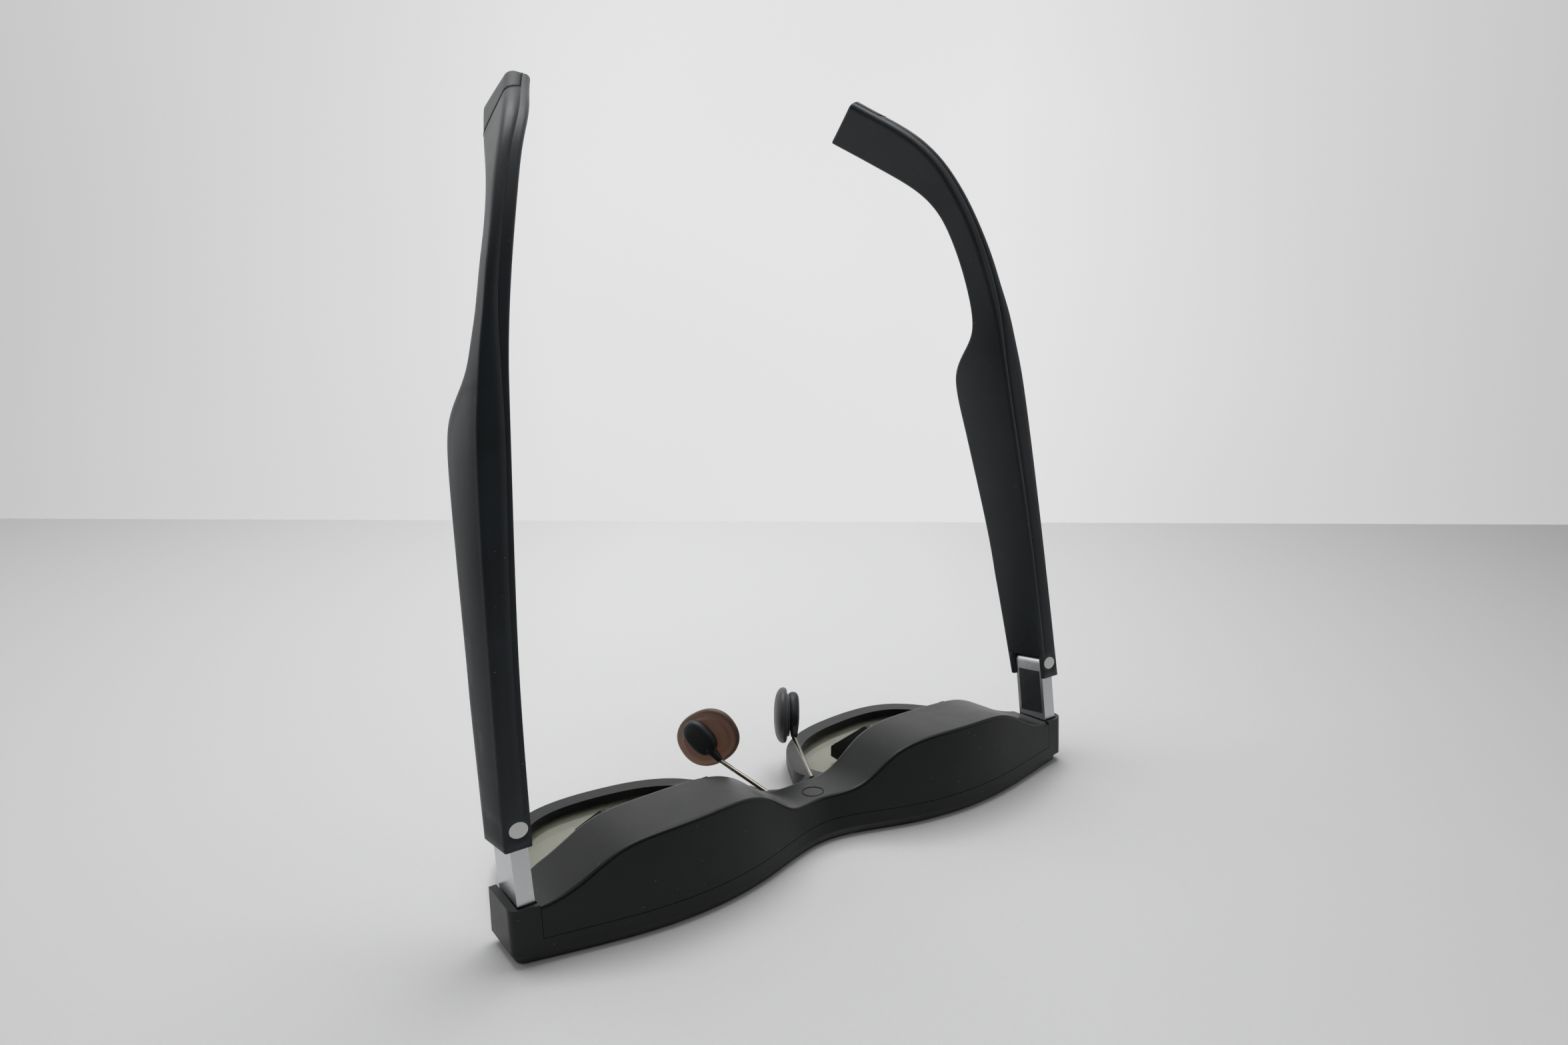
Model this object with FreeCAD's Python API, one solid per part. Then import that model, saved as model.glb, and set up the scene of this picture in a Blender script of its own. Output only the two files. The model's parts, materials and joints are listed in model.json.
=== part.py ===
import FreeCAD, Part
import math
import os

# Tethered display glasses, standing on the front visor with the temples up.
# X runs across the face (-X is the wearer's right), +Y points down the face,
# +Z points from the front towards the ears. All sizes are in millimetres.
# Every paired piece is drawn on the +X side and mirrored. The drawing's zero is
# on the brow line; the saved files have theirs REST_Y lower, on the flat face.

# ---- front frame and visor ----
REST_Y = 6.0
HALF_WIDTH = 73.0
VISOR_THICK = 2.2
VISOR_INSET = 0.9
VISOR_EDGE_ROUND = 0.6
VISOR_WEB_X = 60.0
SEAM_Z = 4.8
SEAM_GAP = 0.12
RIM_BACK_Z = 4.2
RIM_WIDTH = 3.6
RIM_TOP_Y = 12.0
NOSE_WALL_Z = 7.4
ENVELOPE_TOP = 24.0
BROW_LEAN = 4.1
BRIDGE_LEAN = 6.0
END_LEAN = 1.8
END_TOP_Z = 11.4
END_LOW_Y = 8.6
END_WALL = 1.5
END_CORNER = 2.2
END_SIDE_GAP = 0.2
POCKET_WALL_Y = -1.45
POCKET_FLOOR_Z = 4.6
# ---- rear housing over the optics ----
HOUSING_WALL = 1.2
ROOF_THICK = 1.62
BAND_EDGE_Y = 12.4
BAND_TILT = 0.09
BRIDGE_Z = 10.6
HUMP_Z = 19.6
HOUSING_GAP = 0.1
HUMP_FAR_ROUND = 1.4
HUMP_BROW_ROUND = 0.7
# ---- housing screws ----
SCREW_SPOTS = [(16.5, 3.2), (53.5, 3.2)]
SCREW_RADIUS = 0.7
SCREW_HEAD_RADIUS = 1.3
SCREW_HEAD_THICK = 0.9
SCREW_LONG = 7.2
POST_RADIUS = 1.8
# ---- optics ----
OPTIC_X = 34.5
OPTIC_HALF = 11.5
OPTIC_LOW_Z = 6.0
OPTIC_TOP_Z = 15.2
OPTIC_PATH = 7.5
BARREL_WALL = 0.6
WINDOW_FIT = 0.05
LENS_THICK = 4.0
LENS_BULGE = 30.0
PANEL_WIDE = 17.0
PANEL_DEEP = 8.6
PANEL_THICK = 1.4
SPLITTER_THICK = 1.0
SPLITTER_CLEARANCE = 0.3
SPLITTER_START_Z = 15.2
SPLITTER_GAP = 1.1
COMBINER_RADIUS = 40.0
COMBINER_THICK = 1.2
COMBINER_Z = 3.0
COMBINER_LOW_Y = 27.0
CHEEK_THICK = 1.2
CHEEK_SHOULDER = 0.9
CHEEK_SEAT = 0.3
# ---- bridge sensor and main board ----
SENSOR_Y = 5.6
SENSOR_RADIUS = 2.35
SENSOR_FIT = 0.06
BOARD_THICK = 1.0
BOARD_TOP_Y = 3.0
BOARD_LOW_Y = 10.0
CHIP_HALF = 5.0
CHIP_MARGIN = 1.2
CHIP_TALL = 1.2
SENSOR_CELL_RADIUS = 1.4
SENSOR_CELL_GAP = 0.1
# ---- nose pads ----
PAD_X = 11.1
PAD_Y = 31.8
PAD_Z = 15.3
PAD_YAW = 34.7
PAD_LONG = 16.4
PAD_TALL = 13.0
PAD_THICK = 3.0
PAD_BACK = 1.0
PAD_ROUND = 1.5
PAD_BACK_ROUND = 0.9
BOSS_RADIUS = 1.4
BOSS_DEEP = 0.9
MOUNT_LONG = 6.6
MOUNT_TALL = 8.8
MOUNT_THICK = 2.4
MOUNT_CORNER = 2.2
MOUNT_LEAN = 15.0
WIRE_RADIUS = 0.5
WIRE_FIT = 0.05
WIRE_ROOT_X = 6.3
WIRE_ROOT_Y = 14.3
WIRE_ROOT_DEEP = 3.6
WIRE_KNEE_RISE = 0.3
WIRE_ENTRY_ALONG = 4.4
WIRE_ENTRY_DOWN = 4.0
# ---- tilt hinge in the end piece ----
TILT_Y = 4.0
TILT_Z = 7.6
TILT_PIN_RADIUS = 1.0
TILT_PIN_END = 0.5
LUG_RADIUS = 2.6
CHEEK_GAP = 0.4
CHEEK_WIDE = 1.4
CHEEK_TOP_Z = 9.3
# ---- hinge arm ----
ARM_WIDE = 3.4
ARM_TALL = 8.5
ARM_FOOT_L = 10.6
ARM_GAP = 0.15
PIN_L = 25.5
PIN_RADIUS = 0.8
PIN_CLEARANCE = 0.05
CAP_WIDE = 3.6
CAP_LONG = 2.9
CAP_THICK = 0.5
PIN_FOOT_DEEP = 1.0
COVER_START_L = 12.6
COVER_END_L = 23.4
COVER_THICK = 0.8
COVER_MARGIN = 0.8
# ---- temple shells ----
TEMPLE_TILT = 10.0
TEMPLE_START = 21.9
TEMPLE_TOP_V = -4.0
HINGE_WALL = 0.95
ROOT_LOW_V = 7.1
SHELL_WALL = 1.1
SIDE_WALL = 1.0
INNER_SHELL = 1.2
SPLIT_DEPTH = 2.4
TEMPLE_ROUND = 0.6
CREASE_ROUND = 0.4
OUTER_TIP_ROUND = 2.2
INNER_TIP_ROUND = 1.1
TIP_END_ROUND = 0.4
CAVITY_END_STEP = 0.2
SPLIT_SEAM_GAP = 0.1
# ---- inside and under the temples ----
INSIDE_GAP = 0.3
TEMPLE_BOARD_START = 36.0
TEMPLE_BOARD_END = 82.0
TEMPLE_BOARD_LOW_V = 4.4
TEMPLE_BOARD_THICK = 0.8
SPEAKER_START = 84.0
SPEAKER_END = 96.0
SPEAKER_TOP_V = 5.4
GRILLE_START = 87.0
GRILLE_LONG = 8.0
GRILLE_THICK = 0.8
GRILLE_HOLE = 0.35
GRILLE_HOLES = 5
GRILLE_INSET = 1.0
GRILLE_WIDE = 2.2
GRILLE_LEDGE = 0.5
BUTTON_START = 36.2
BUTTON_LONG = 5.0
BUTTON_WIDE = 2.0
BUTTON_PROUD = 0.45
BUTTON_CLEARANCE = 0.12
BUTTON_FLANGE = 0.5
BUTTON_FLANGE_LIP = 0.2
BUTTON_TRAVEL_ROOM = 1.2
BUTTON_ROOM = 0.25
ROCKER_START = 45.0
ROCKER_LONG = 14.0
ROCKER_WIDE = 2.0
ROCKER_PROUD = 0.4
ROCKER_DEEP = 2.4
ROCKER_PIN_DEEP = 1.5
ROCKER_END_CLEARANCE = 0.3
ROCKER_SWING_ROOM = 0.6
ROCKER_PIN_RADIUS = 0.5
ROCKER_PIN_REACH = 0.6
CONTROL_SHIFT = 0.4
# ---- USB-C receptacle in the wearer's left tip ----
USB_WIDE = 8.94
USB_THICK = 3.26
USB_LONG = 7.3
USB_MOUTH_WIDE = 8.34
USB_MOUTH_THICK = 2.56
USB_DEPTH = 6.2
USB_TONGUE_WIDE = 6.69
USB_TONGUE_THICK = 0.7
USB_TONGUE_LONG = 4.45
USB_END_FLAT = 0.05
FLEX_THICK = 0.4
FLEX_HALF = 1.1
FLEX_ROOM = 0.3

# ---- places that follow from the sizes above ----
ARM_HALF = ARM_WIDE / 2
PIN_X = HALF_WIDTH - END_WALL - END_SIDE_GAP - ARM_HALF
END_INNER_X = PIN_X - ARM_HALF - CHEEK_GAP
ARM_TOP_V = TEMPLE_TOP_V + HINGE_WALL + ARM_GAP
ARM_LOW_V = ARM_TOP_V + ARM_TALL
INNER_START = PIN_L + ARM_HALF + ARM_GAP
LENS_TOP_Y = BAND_EDGE_Y - LENS_THICK
PANEL_TOP_Y = LENS_TOP_Y - OPTIC_PATH
WIRE_KNEE_Z = NOSE_WALL_Z + WIRE_KNEE_RISE

# ---- drawn curves ----
# Brow line: (share of the half width, height on the face).
BROW = [(0.0, -1.0), (0.126, -2.6), (0.253, -5.5), (0.38, -7.5), (0.507, -8.2),
        (0.633, -7.7), (0.76, -6.2), (0.888, -4.2)]
BROW_END = (0.97, -3.0)
# Outer edge of one eye rim.
EYE = [(0.093, 22.4), (0.135, 28.6), (0.212, 36.6), (0.33, 41.4), (0.46, 43.3),
       (0.59, 43.7), (0.71, 41.8), (0.815, 35.6), (0.882, 26.5), (0.908, 17.0),
       (0.9, 11.0), (0.85, 7.4), (0.74, 6.4), (0.5, 6.2), (0.26, 6.4), (0.13, 10.0)]
EYE_STEPS = 48
# Edge of the web over the nose, from the middle outwards.
SADDLE = [(0.0, 13.6), (0.08, 16.4), (0.165, 19.0)]
# Rear outline of the housing: (share of the half width, share of the hump's rise).
HUMP = [(0.0, 0.0), (0.075, 0.01), (0.13, 0.12), (0.185, 0.42), (0.24, 0.74), (0.3, 0.92),
        (0.4, 1.0), (0.52, 0.99), (0.62, 0.95), (0.685, 0.86), (0.745, 0.66), (0.8, 0.41),
        (0.855, 0.2), (0.925, 0.08)]
BAND_REF_Y = -4.0
# Taper of the housing's ends: (distance in from the widest half, height on the face).
TAPER = [(18.0, 12.9), (14.0, 12.2), (11.0, 11.5), (8.0, 10.3), (5.0, 8.7)]
# Temple seen from the side: (length, height), top edge and then low edge.
TOP_EDGE = [(100.0, -4.0), (106.0, -4.0), (112.0, -3.9), (120.0, -3.4), (128.0, -2.7),
            (136.0, -1.4), (143.0, 0.5), (149.0, 2.9), (154.0, 6.2), (158.5, 10.8),
            (162.0, 15.1), (164.9, 18.6), (167.3, 21.4)]
LOW_EDGE = [(160.2, 32.4), (157.8, 29.3), (153.0, 23.0), (149.0, 17.9), (144.6, 12.4),
            (140.4, 8.3), (136.0, 5.8), (131.0, 4.5), (125.0, 3.7), (118.0, 3.4),
            (112.5, 3.7), (108.6, 4.8), (105.3, 7.4), (102.3, 10.4), (98.8, 12.7),
            (94.0, 13.4), (87.0, 12.8), (69.0, 10.8), (48.0, 9.2)]
# Temple seen from above: (length, distance in from the widest half).
INNER_PLAN = [(15.0, 5.4), (24.0, 5.8), (50.0, 7.1), (80.0, 9.7), (100.0, 11.7),
              (110.0, 13.0), (120.0, 14.9), (130.0, 17.2), (140.0, 20.0), (148.0, 22.9),
              (154.0, 26.0), (160.0, 29.3), (166.0, 33.1), (172.0, 36.8)]
OUTER_PLAN = [(15.0, 0.2), (24.0, 0.6), (50.0, 1.9), (80.0, 3.8), (92.0, 4.8),
              (100.0, 5.8), (106.0, 7.0), (112.0, 8.2), (118.0, 9.7), (125.0, 11.3),
              (132.0, 13.2), (140.0, 15.4), (147.0, 17.8), (154.0, 20.9), (160.0, 24.1),
              (166.0, 27.7), (172.0, 31.4)]
# How much further in the temple gets for each millimetre down the face: (length, rate).
INWARD_LEAN = [(98.0, 0.0), (115.0, 0.065), (125.0, 0.09), (135.0, 0.1), (150.0, 0.095),
               (172.0, 0.055)]
SPLIT_TURN = 108.0
SPLIT_MIDDLE = 114.0
CAVITY_LOW = [(33.0, 6.2), (60.0, 8.5), (85.0, 11.0), (92.0, 11.6), (97.0, 11.2),
              (101.0, 8.4), (104.0, 5.4)]
FLEX_LINE = [(82.0, 2.0), (100.0, 2.0), (112.0, 0.0), (120.0, 0.0), (128.0, 0.7),
             (136.0, 2.2), (143.0, 5.6), (149.0, 10.6), (153.0, 15.4), (155.8, 19.3)]
SEAM_POINT = (160.4, 14.0)

# ---- room around the model for cutting tools ----
FAR_TOP_Y = -20.0
FAR_LOW_Y = 60.0
NEAR_L = 0.0
FAR_L = 171.0
FAR_X = 90.0


def vec(x, y, z):
    return FreeCAD.Vector(x, y, z)


ORIGIN = vec(0, 0, 0)
AXIS_X = vec(1, 0, 0)
AXIS_Y = vec(0, 1, 0)
AXIS_Z = vec(0, 0, 1)


def block(x0, x1, y0, y1, z0, z1):
    return Part.makeBox(x1 - x0, y1 - y0, z1 - z0, vec(x0, y0, z0))


def rod(radius, start, direction, length):
    return Part.makeCylinder(radius, length, start, direction)


def spline(points):
    curve = Part.BSplineCurve()
    curve.interpolate(points)
    return curve.toShape()


def line(a, b):
    return Part.makeLine(a, b)


def polygon(points):
    return Part.Face(Part.makePolygon(points + [points[0]]))


def mirrored(shape):
    return shape.mirror(ORIGIN, AXIS_X)


def both(shape):
    return [shape, mirrored(shape)]


def tilted(shape):
    # Temples and arms are drawn upright along Z, then lean down the face.
    turned = shape.copy()
    turned.rotate(ORIGIN, AXIS_X, -TEMPLE_TILT)
    return turned


# ---------------------------------------------------------------- front plan


def brow_lean(fraction):
    middle = (BRIDGE_LEAN - BROW_LEAN) * math.exp(-(fraction / 0.13) ** 2)
    end = (END_LEAN - BROW_LEAN) * math.exp(-((1 - fraction) / 0.12) ** 2)
    return BROW_LEAN + middle + end


def brow_point(fraction, base, height, inset):
    y = base + brow_lean(fraction) * height / ENVELOPE_TOP + inset
    return vec(fraction * HALF_WIDTH, y, height)


def brow_wire(height, inset):
    half = HALF_WIDTH - inset
    right = [brow_point(f, y, height, inset) for f, y in BROW]
    last = brow_point(BROW_END[0], BROW_END[1], height, inset)
    start = vec(half - END_CORNER, last.y, height)
    right.append(start)
    left = [vec(-p.x, p.y, p.z) for p in reversed(right[1:])]
    bulge = END_CORNER * (1 - math.sqrt(0.5))
    middle = vec(half - bulge, last.y + bulge, height)
    end = vec(half, last.y + END_CORNER, height)
    corner_right = Part.Arc(start, middle, end).toShape()
    flip = [vec(-p.x, p.y, p.z) for p in (end, middle, start)]
    corner_left = Part.Arc(flip[0], flip[1], flip[2]).toShape()
    low_right = vec(half, FAR_LOW_Y, height)
    low_left = vec(-half, FAR_LOW_Y, height)
    edges = [spline(left + right), corner_right, line(end, low_right)]
    edges += [line(low_right, low_left), line(low_left, flip[0]), corner_left]
    return Part.Wire(edges)


def brow_envelope(inset):
    # Everything below the brow line; the brow face leans as it goes to the rear.
    wires = [brow_wire(0, inset), brow_wire(ENVELOPE_TOP, inset)]
    return Part.makeLoft(wires, True, True)


def eye_wire(inset, height):
    # The rim's outline moved inwards by the inset, as one closed curve.
    base = Part.BSplineCurve()
    base.interpolate([vec(f * HALF_WIDTH, y, height) for f, y in EYE], True)
    points = []
    for step in range(EYE_STEPS):
        at = base.FirstParameter + step * (base.LastParameter - base.FirstParameter) / EYE_STEPS
        inward = base.tangent(at)[0].cross(AXIS_Z)
        points.append(base.value(at) + inward * inset)
    curve = Part.BSplineCurve()
    curve.interpolate(points, True)
    return Part.Wire([curve.toShape()])


def eye_prism(inset, z0, z1):
    return Part.Face(eye_wire(inset, z0)).extrude(vec(0, 0, z1 - z0))


def saddle_prism(inset, z0, z1):
    # Web over the nose between the two eye shapes.
    right = [vec(f * HALF_WIDTH, y - inset, z0) for f, y in SADDLE]
    left = [vec(-p.x, p.y, p.z) for p in reversed(right[1:])]
    points = left + right
    top_right = vec(points[-1].x, 0, z0)
    top_left = vec(points[0].x, 0, z0)
    edges = [spline(points), line(points[-1], top_right), line(top_right, top_left)]
    edges.append(line(top_left, points[0]))
    return Part.Face(Part.Wire(edges)).extrude(vec(0, 0, z1 - z0))


def plan_body(inset, z0, z1):
    body = block(-HALF_WIDTH, HALF_WIDTH, FAR_TOP_Y, END_LOW_Y - inset, z0, z1)
    body = body.fuse(both(eye_prism(inset, z0, z1)) + [saddle_prism(inset, z0, z1)])
    return body.common(brow_envelope(inset))


def visor_eye():
    wires = [eye_wire(VISOR_INSET + VISOR_EDGE_ROUND, 0), eye_wire(VISOR_INSET, VISOR_EDGE_ROUND)]
    lip = Part.makeLoft(wires, True)
    return lip.fuse(eye_prism(VISOR_INSET, VISOR_EDGE_ROUND, VISOR_THICK))


def low_edges(solid, low_y):
    return [e for e in solid.Edges if e.BoundBox.ZMax < 0.01 and e.BoundBox.YMin < low_y]


def front_visor():
    # One pane over the whole front, its outline rounded at the front face.
    block_low = END_LOW_Y - VISOR_INSET
    bar = block(-HALF_WIDTH, HALF_WIDTH, FAR_TOP_Y, block_low, 0, VISOR_THICK)
    bar_edge = [e for e in low_edges(bar, FAR_LOW_Y) if e.BoundBox.YMin > block_low - 0.01]
    bar = bar.makeFillet(VISOR_EDGE_ROUND, bar_edge)
    saddle = saddle_prism(VISOR_INSET, 0, VISOR_THICK)
    curved = [e for e in low_edges(saddle, FAR_LOW_Y) if e.Curve.TypeId == "Part::GeomBSplineCurve"]
    saddle = saddle.makeFillet(VISOR_EDGE_ROUND, curved)
    envelope = brow_envelope(VISOR_INSET)
    envelope = envelope.makeFillet(VISOR_EDGE_ROUND, low_edges(envelope, FAR_LOW_Y - 1))
    web = block(-VISOR_WEB_X, VISOR_WEB_X, 0, RIM_TOP_Y, 0, VISOR_THICK)
    visor = bar.fuse(both(visor_eye()) + [saddle, web])
    return visor.common(envelope).removeSplitter()


def height_profile():
    # How far the rims rise towards the rear, seen from the side.
    x = -HALF_WIDTH
    step_y = BAND_EDGE_Y + HOUSING_GAP
    rise = NOSE_WALL_Z - RIM_BACK_Z
    wall = [vec(x, step_y, NOSE_WALL_Z), vec(x, step_y + 8, NOSE_WALL_Z - 0.3 * rise),
            vec(x, step_y + 16, RIM_BACK_Z + 0.25 * rise), vec(x, step_y + 23, RIM_BACK_Z)]
    points = [vec(x, FAR_TOP_Y, VISOR_THICK), vec(x, FAR_TOP_Y, SEAM_Z), vec(x, step_y, SEAM_Z)]
    rim_end = vec(x, FAR_LOW_Y, RIM_BACK_Z)
    rim_low = vec(x, FAR_LOW_Y, VISOR_THICK)
    edges = [line(points[0], points[1]), line(points[1], points[2]), line(points[2], wall[0])]
    edges += [spline(wall), line(wall[-1], rim_end), line(rim_end, rim_low)]
    edges.append(line(rim_low, points[0]))
    return Part.Face(Part.Wire(edges)).extrude(vec(2 * HALF_WIDTH, 0, 0))


# ---------------------------------------------------------------- front frame


def tilt_pin():
    start = END_INNER_X - CHEEK_WIDE - TILT_PIN_END
    length = HALF_WIDTH - END_WALL / 2 - start
    return rod(TILT_PIN_RADIUS, vec(start, TILT_Y, TILT_Z), AXIS_X, length)


def end_piece():
    # Outer and brow walls around the arm's foot, and the inner cheek for its pin.
    shell = plan_body(0, VISOR_THICK, END_TOP_Z)
    shell = shell.common(block(END_INNER_X, HALF_WIDTH, FAR_TOP_Y, END_LOW_Y, 0, END_TOP_Z))
    pocket = block(END_INNER_X, HALF_WIDTH - END_WALL, POCKET_WALL_Y, END_LOW_Y + 1,
                   POCKET_FLOOR_Z, END_TOP_Z + 1)
    cheek = block(END_INNER_X - CHEEK_WIDE, END_INNER_X, POCKET_WALL_Y + 1, END_LOW_Y,
                  VISOR_THICK, CHEEK_TOP_Z)
    return shell.cut(pocket).fuse(cheek).cut(tilt_pin())


def screw():
    shaft = rod(SCREW_RADIUS, ORIGIN, AXIS_Z, SCREW_LONG)
    return shaft.fuse(rod(SCREW_HEAD_RADIUS, ORIGIN, AXIS_Z, SCREW_HEAD_THICK))


def housing_screws():
    found = []
    for x, y in SCREW_SPOTS:
        one = screw()
        one.translate(vec(x, y, VISOR_THICK))
        found += both(one)
    return Part.makeCompound(found)


def front_frame():
    frame = plan_body(0, VISOR_THICK, END_TOP_Z).common(height_profile())
    opening = eye_prism(RIM_WIDTH, 0, END_TOP_Z)
    opening = opening.common(block(0, HALF_WIDTH, RIM_TOP_Y, FAR_LOW_Y, 0, END_TOP_Z))
    frame = frame.cut(both(opening))
    frame = frame.fuse(both(end_piece())).removeSplitter()
    return frame.cut(both(nose_wire(WIRE_RADIUS))).cut(housing_screws())


# ---------------------------------------------------------------- rear housing


def hump_prism(inset):
    # The hump's outline carried down the face; the inset lowers its roof.
    rise = HUMP_Z - BRIDGE_Z
    lift = BAND_TILT * (BAND_REF_Y - FAR_TOP_Y) - inset
    right = [vec(f * HALF_WIDTH, FAR_TOP_Y, BRIDGE_Z + k * rise + lift) for f, k in HUMP]
    left = [vec(-p.x, p.y, p.z) for p in reversed(right[1:])]
    points = left + right
    low_right = vec(points[-1].x, FAR_TOP_Y, 0)
    low_left = vec(points[0].x, FAR_TOP_Y, 0)
    edges = [spline(points), line(points[-1], low_right), line(low_right, low_left)]
    edges.append(line(low_left, points[0]))
    run = BAND_EDGE_Y - FAR_TOP_Y
    return Part.Face(Part.Wire(edges)).extrude(vec(0, run, -run * BAND_TILT))


def housing_edges(solid):
    # The rear edge along the brow, and the rear edge along the far side.
    far = []
    brow = []
    for e in solid.Edges:
        box = e.BoundBox
        if box.XLength < 20 or box.ZMax < SEAM_Z + 1:
            continue
        if box.YLength < 0.01 and abs(box.YMin - BAND_EDGE_Y) < 0.1:
            far.append(e)
        if box.ZMax > BRIDGE_Z and box.YMin < 0:
            brow.append(e)
    return far, brow


def taper_tool():
    points = [vec(HALF_WIDTH - d, y, SEAM_Z) for d, y in TAPER]
    corner_x = points[-1].x + 5
    points_out = [vec(corner_x, points[-1].y, SEAM_Z), vec(corner_x, FAR_LOW_Y, SEAM_Z),
                  vec(points[0].x, FAR_LOW_Y, SEAM_Z)]
    edges = [spline(points), line(points[-1], points_out[0]), line(points_out[0], points_out[1])]
    edges += [line(points_out[1], points_out[2]), line(points_out[2], points[0])]
    return Part.Face(Part.Wire(edges)).extrude(vec(0, 0, ENVELOPE_TOP))


def optic_block(y0, y1, z0, z1, widen):
    half = OPTIC_HALF + widen
    return block(OPTIC_X - half, OPTIC_X + half, y0, y1, z0, z1)


def lens_window():
    # Opening in the housing's underside, a fit larger than the lens.
    return optic_block(LENS_TOP_Y, BAND_EDGE_Y + 1, OPTIC_LOW_Z - WINDOW_FIT,
                       OPTIC_TOP_Z + WINDOW_FIT, WINDOW_FIT)


def housing_posts(outer):
    posts = []
    for x, y in SCREW_SPOTS:
        posts += both(rod(POST_RADIUS, vec(x, y, SEAM_Z), AXIS_Z, ENVELOPE_TOP))
    solid = posts[0].fuse(posts[1:])
    return solid.common(outer)


def rear_housing():
    half = END_INNER_X - HOUSING_GAP
    envelope = brow_envelope(0)
    full = hump_prism(0).common(envelope)
    outer = full.common(block(-half, half, FAR_TOP_Y, BAND_EDGE_Y + 1, SEAM_Z + SEAM_GAP,
                              ENVELOPE_TOP))
    far, brow = housing_edges(outer)
    outer = outer.makeFillet(HUMP_FAR_ROUND, far)
    far, brow = housing_edges(outer)
    outer = outer.makeFillet(HUMP_BROW_ROUND, brow)
    inside = block(-half + HOUSING_WALL, half - HOUSING_WALL, FAR_TOP_Y,
                   BAND_EDGE_Y - HOUSING_WALL, 0, ENVELOPE_TOP)
    cavity = hump_prism(ROOF_THICK).common(brow_envelope(HOUSING_WALL)).common(inside)
    shell = outer.cut(cavity).fuse(housing_posts(full))
    notch = block(END_INNER_X - CHEEK_WIDE - HOUSING_GAP, END_INNER_X + 1, POCKET_WALL_Y,
                  BAND_EDGE_Y + 1, 0, CHEEK_TOP_Z + HOUSING_GAP)
    shell = shell.cut(both(notch) + both(taper_tool()) + both(lens_window()))
    shell = shell.cut([sensor_disc(SENSOR_RADIUS + SENSOR_FIT), housing_screws()])
    return shell.cut(both(tilt_pin()))


# ---------------------------------------------------------------- optics


def field_lens():
    # Plano-convex lens, its flat face flush with the housing's underside.
    body = optic_block(LENS_TOP_Y, BAND_EDGE_Y, OPTIC_LOW_Z, OPTIC_TOP_Z, 0)
    centre = vec(OPTIC_X, LENS_TOP_Y + LENS_BULGE, (OPTIC_LOW_Z + OPTIC_TOP_Z) / 2)
    return body.common(Part.makeSphere(LENS_BULGE, centre))


def display_panel():
    half = PANEL_WIDE / 2
    low_z = (OPTIC_LOW_Z + OPTIC_TOP_Z - PANEL_DEEP) / 2
    return block(OPTIC_X - half, OPTIC_X + half, PANEL_TOP_Y, PANEL_TOP_Y + PANEL_THICK, low_z,
                 low_z + PANEL_DEEP)


def display_barrel():
    # Square tube from the panel down to the lens; it stands on the front frame.
    outer = optic_block(PANEL_TOP_Y, BAND_EDGE_Y - HOUSING_WALL, SEAM_Z,
                        OPTIC_TOP_Z + BARREL_WALL, BARREL_WALL)
    bore = optic_block(PANEL_TOP_Y + PANEL_THICK, BAND_EDGE_Y, OPTIC_LOW_Z, OPTIC_TOP_Z, 0)
    return outer.cut(bore).cut(display_panel())


def combiner_corner_z():
    # Rear-most height of the combiner, at the corners of its hollow side.
    half_tall = (COMBINER_LOW_Y - BAND_EDGE_Y - SPLITTER_GAP) / 2
    hollow = COMBINER_RADIUS - COMBINER_THICK
    reach = OPTIC_HALF ** 2 + half_tall ** 2
    return COMBINER_Z + COMBINER_RADIUS - math.sqrt(hollow ** 2 - reach)


def beam_splitter():
    # Flat half mirror, leaning at 45 degrees under the lens and clear of the combiner.
    drop = SPLITTER_START_Z - combiner_corner_z() - SPLITTER_CLEARANCE
    plate = Part.makeBox(2 * OPTIC_HALF, drop * math.sqrt(2), SPLITTER_THICK,
                         vec(OPTIC_X - OPTIC_HALF, 0, 0))
    plate.rotate(ORIGIN, AXIS_X, -45)
    plate.translate(vec(0, BAND_EDGE_Y + SPLITTER_GAP, SPLITTER_START_Z))
    return plate


def combiner():
    # Curved half mirror in front of the splitter, hollow side to the rear.
    top_y = BAND_EDGE_Y + SPLITTER_GAP
    centre = vec(OPTIC_X, (top_y + COMBINER_LOW_Y) / 2, COMBINER_Z + COMBINER_RADIUS)
    bowl = Part.makeSphere(COMBINER_RADIUS, centre)
    bowl = bowl.cut(Part.makeSphere(COMBINER_RADIUS - COMBINER_THICK, centre))
    return bowl.common(optic_block(top_y, COMBINER_LOW_Y, 0, OPTIC_TOP_Z, 0))


def optics_holder():
    # Two side cheeks that grip the splitter and the combiner, under the housing.
    y0 = BAND_EDGE_Y
    half = OPTIC_HALF + CHEEK_THICK
    top_z = SPLITTER_START_Z + SPLITTER_THICK
    low_z = COMBINER_Z + CHEEK_SEAT
    shoulder = y0 + SPLITTER_GAP
    side = [vec(0, y0, SEAM_Z + SEAM_GAP), vec(0, y0, top_z), vec(0, shoulder + CHEEK_SHOULDER, top_z),
            vec(0, COMBINER_LOW_Y, OPTIC_LOW_Z), vec(0, COMBINER_LOW_Y, low_z),
            vec(0, shoulder, low_z), vec(0, shoulder, SEAM_Z + SEAM_GAP)]
    cheek = polygon(side).extrude(vec(CHEEK_THICK, 0, 0))
    near = cheek.copy()
    near.translate(vec(OPTIC_X - half, 0, 0))
    far = cheek.copy()
    far.translate(vec(OPTIC_X + OPTIC_HALF, 0, 0))
    bar = block(OPTIC_X - half, OPTIC_X + half, y0, y0 + SPLITTER_GAP / 2,
                OPTIC_TOP_Z + WINDOW_FIT, top_z)
    return near.fuse([far, bar])


# ---------------------------------------------------------------- bridge and board


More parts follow.
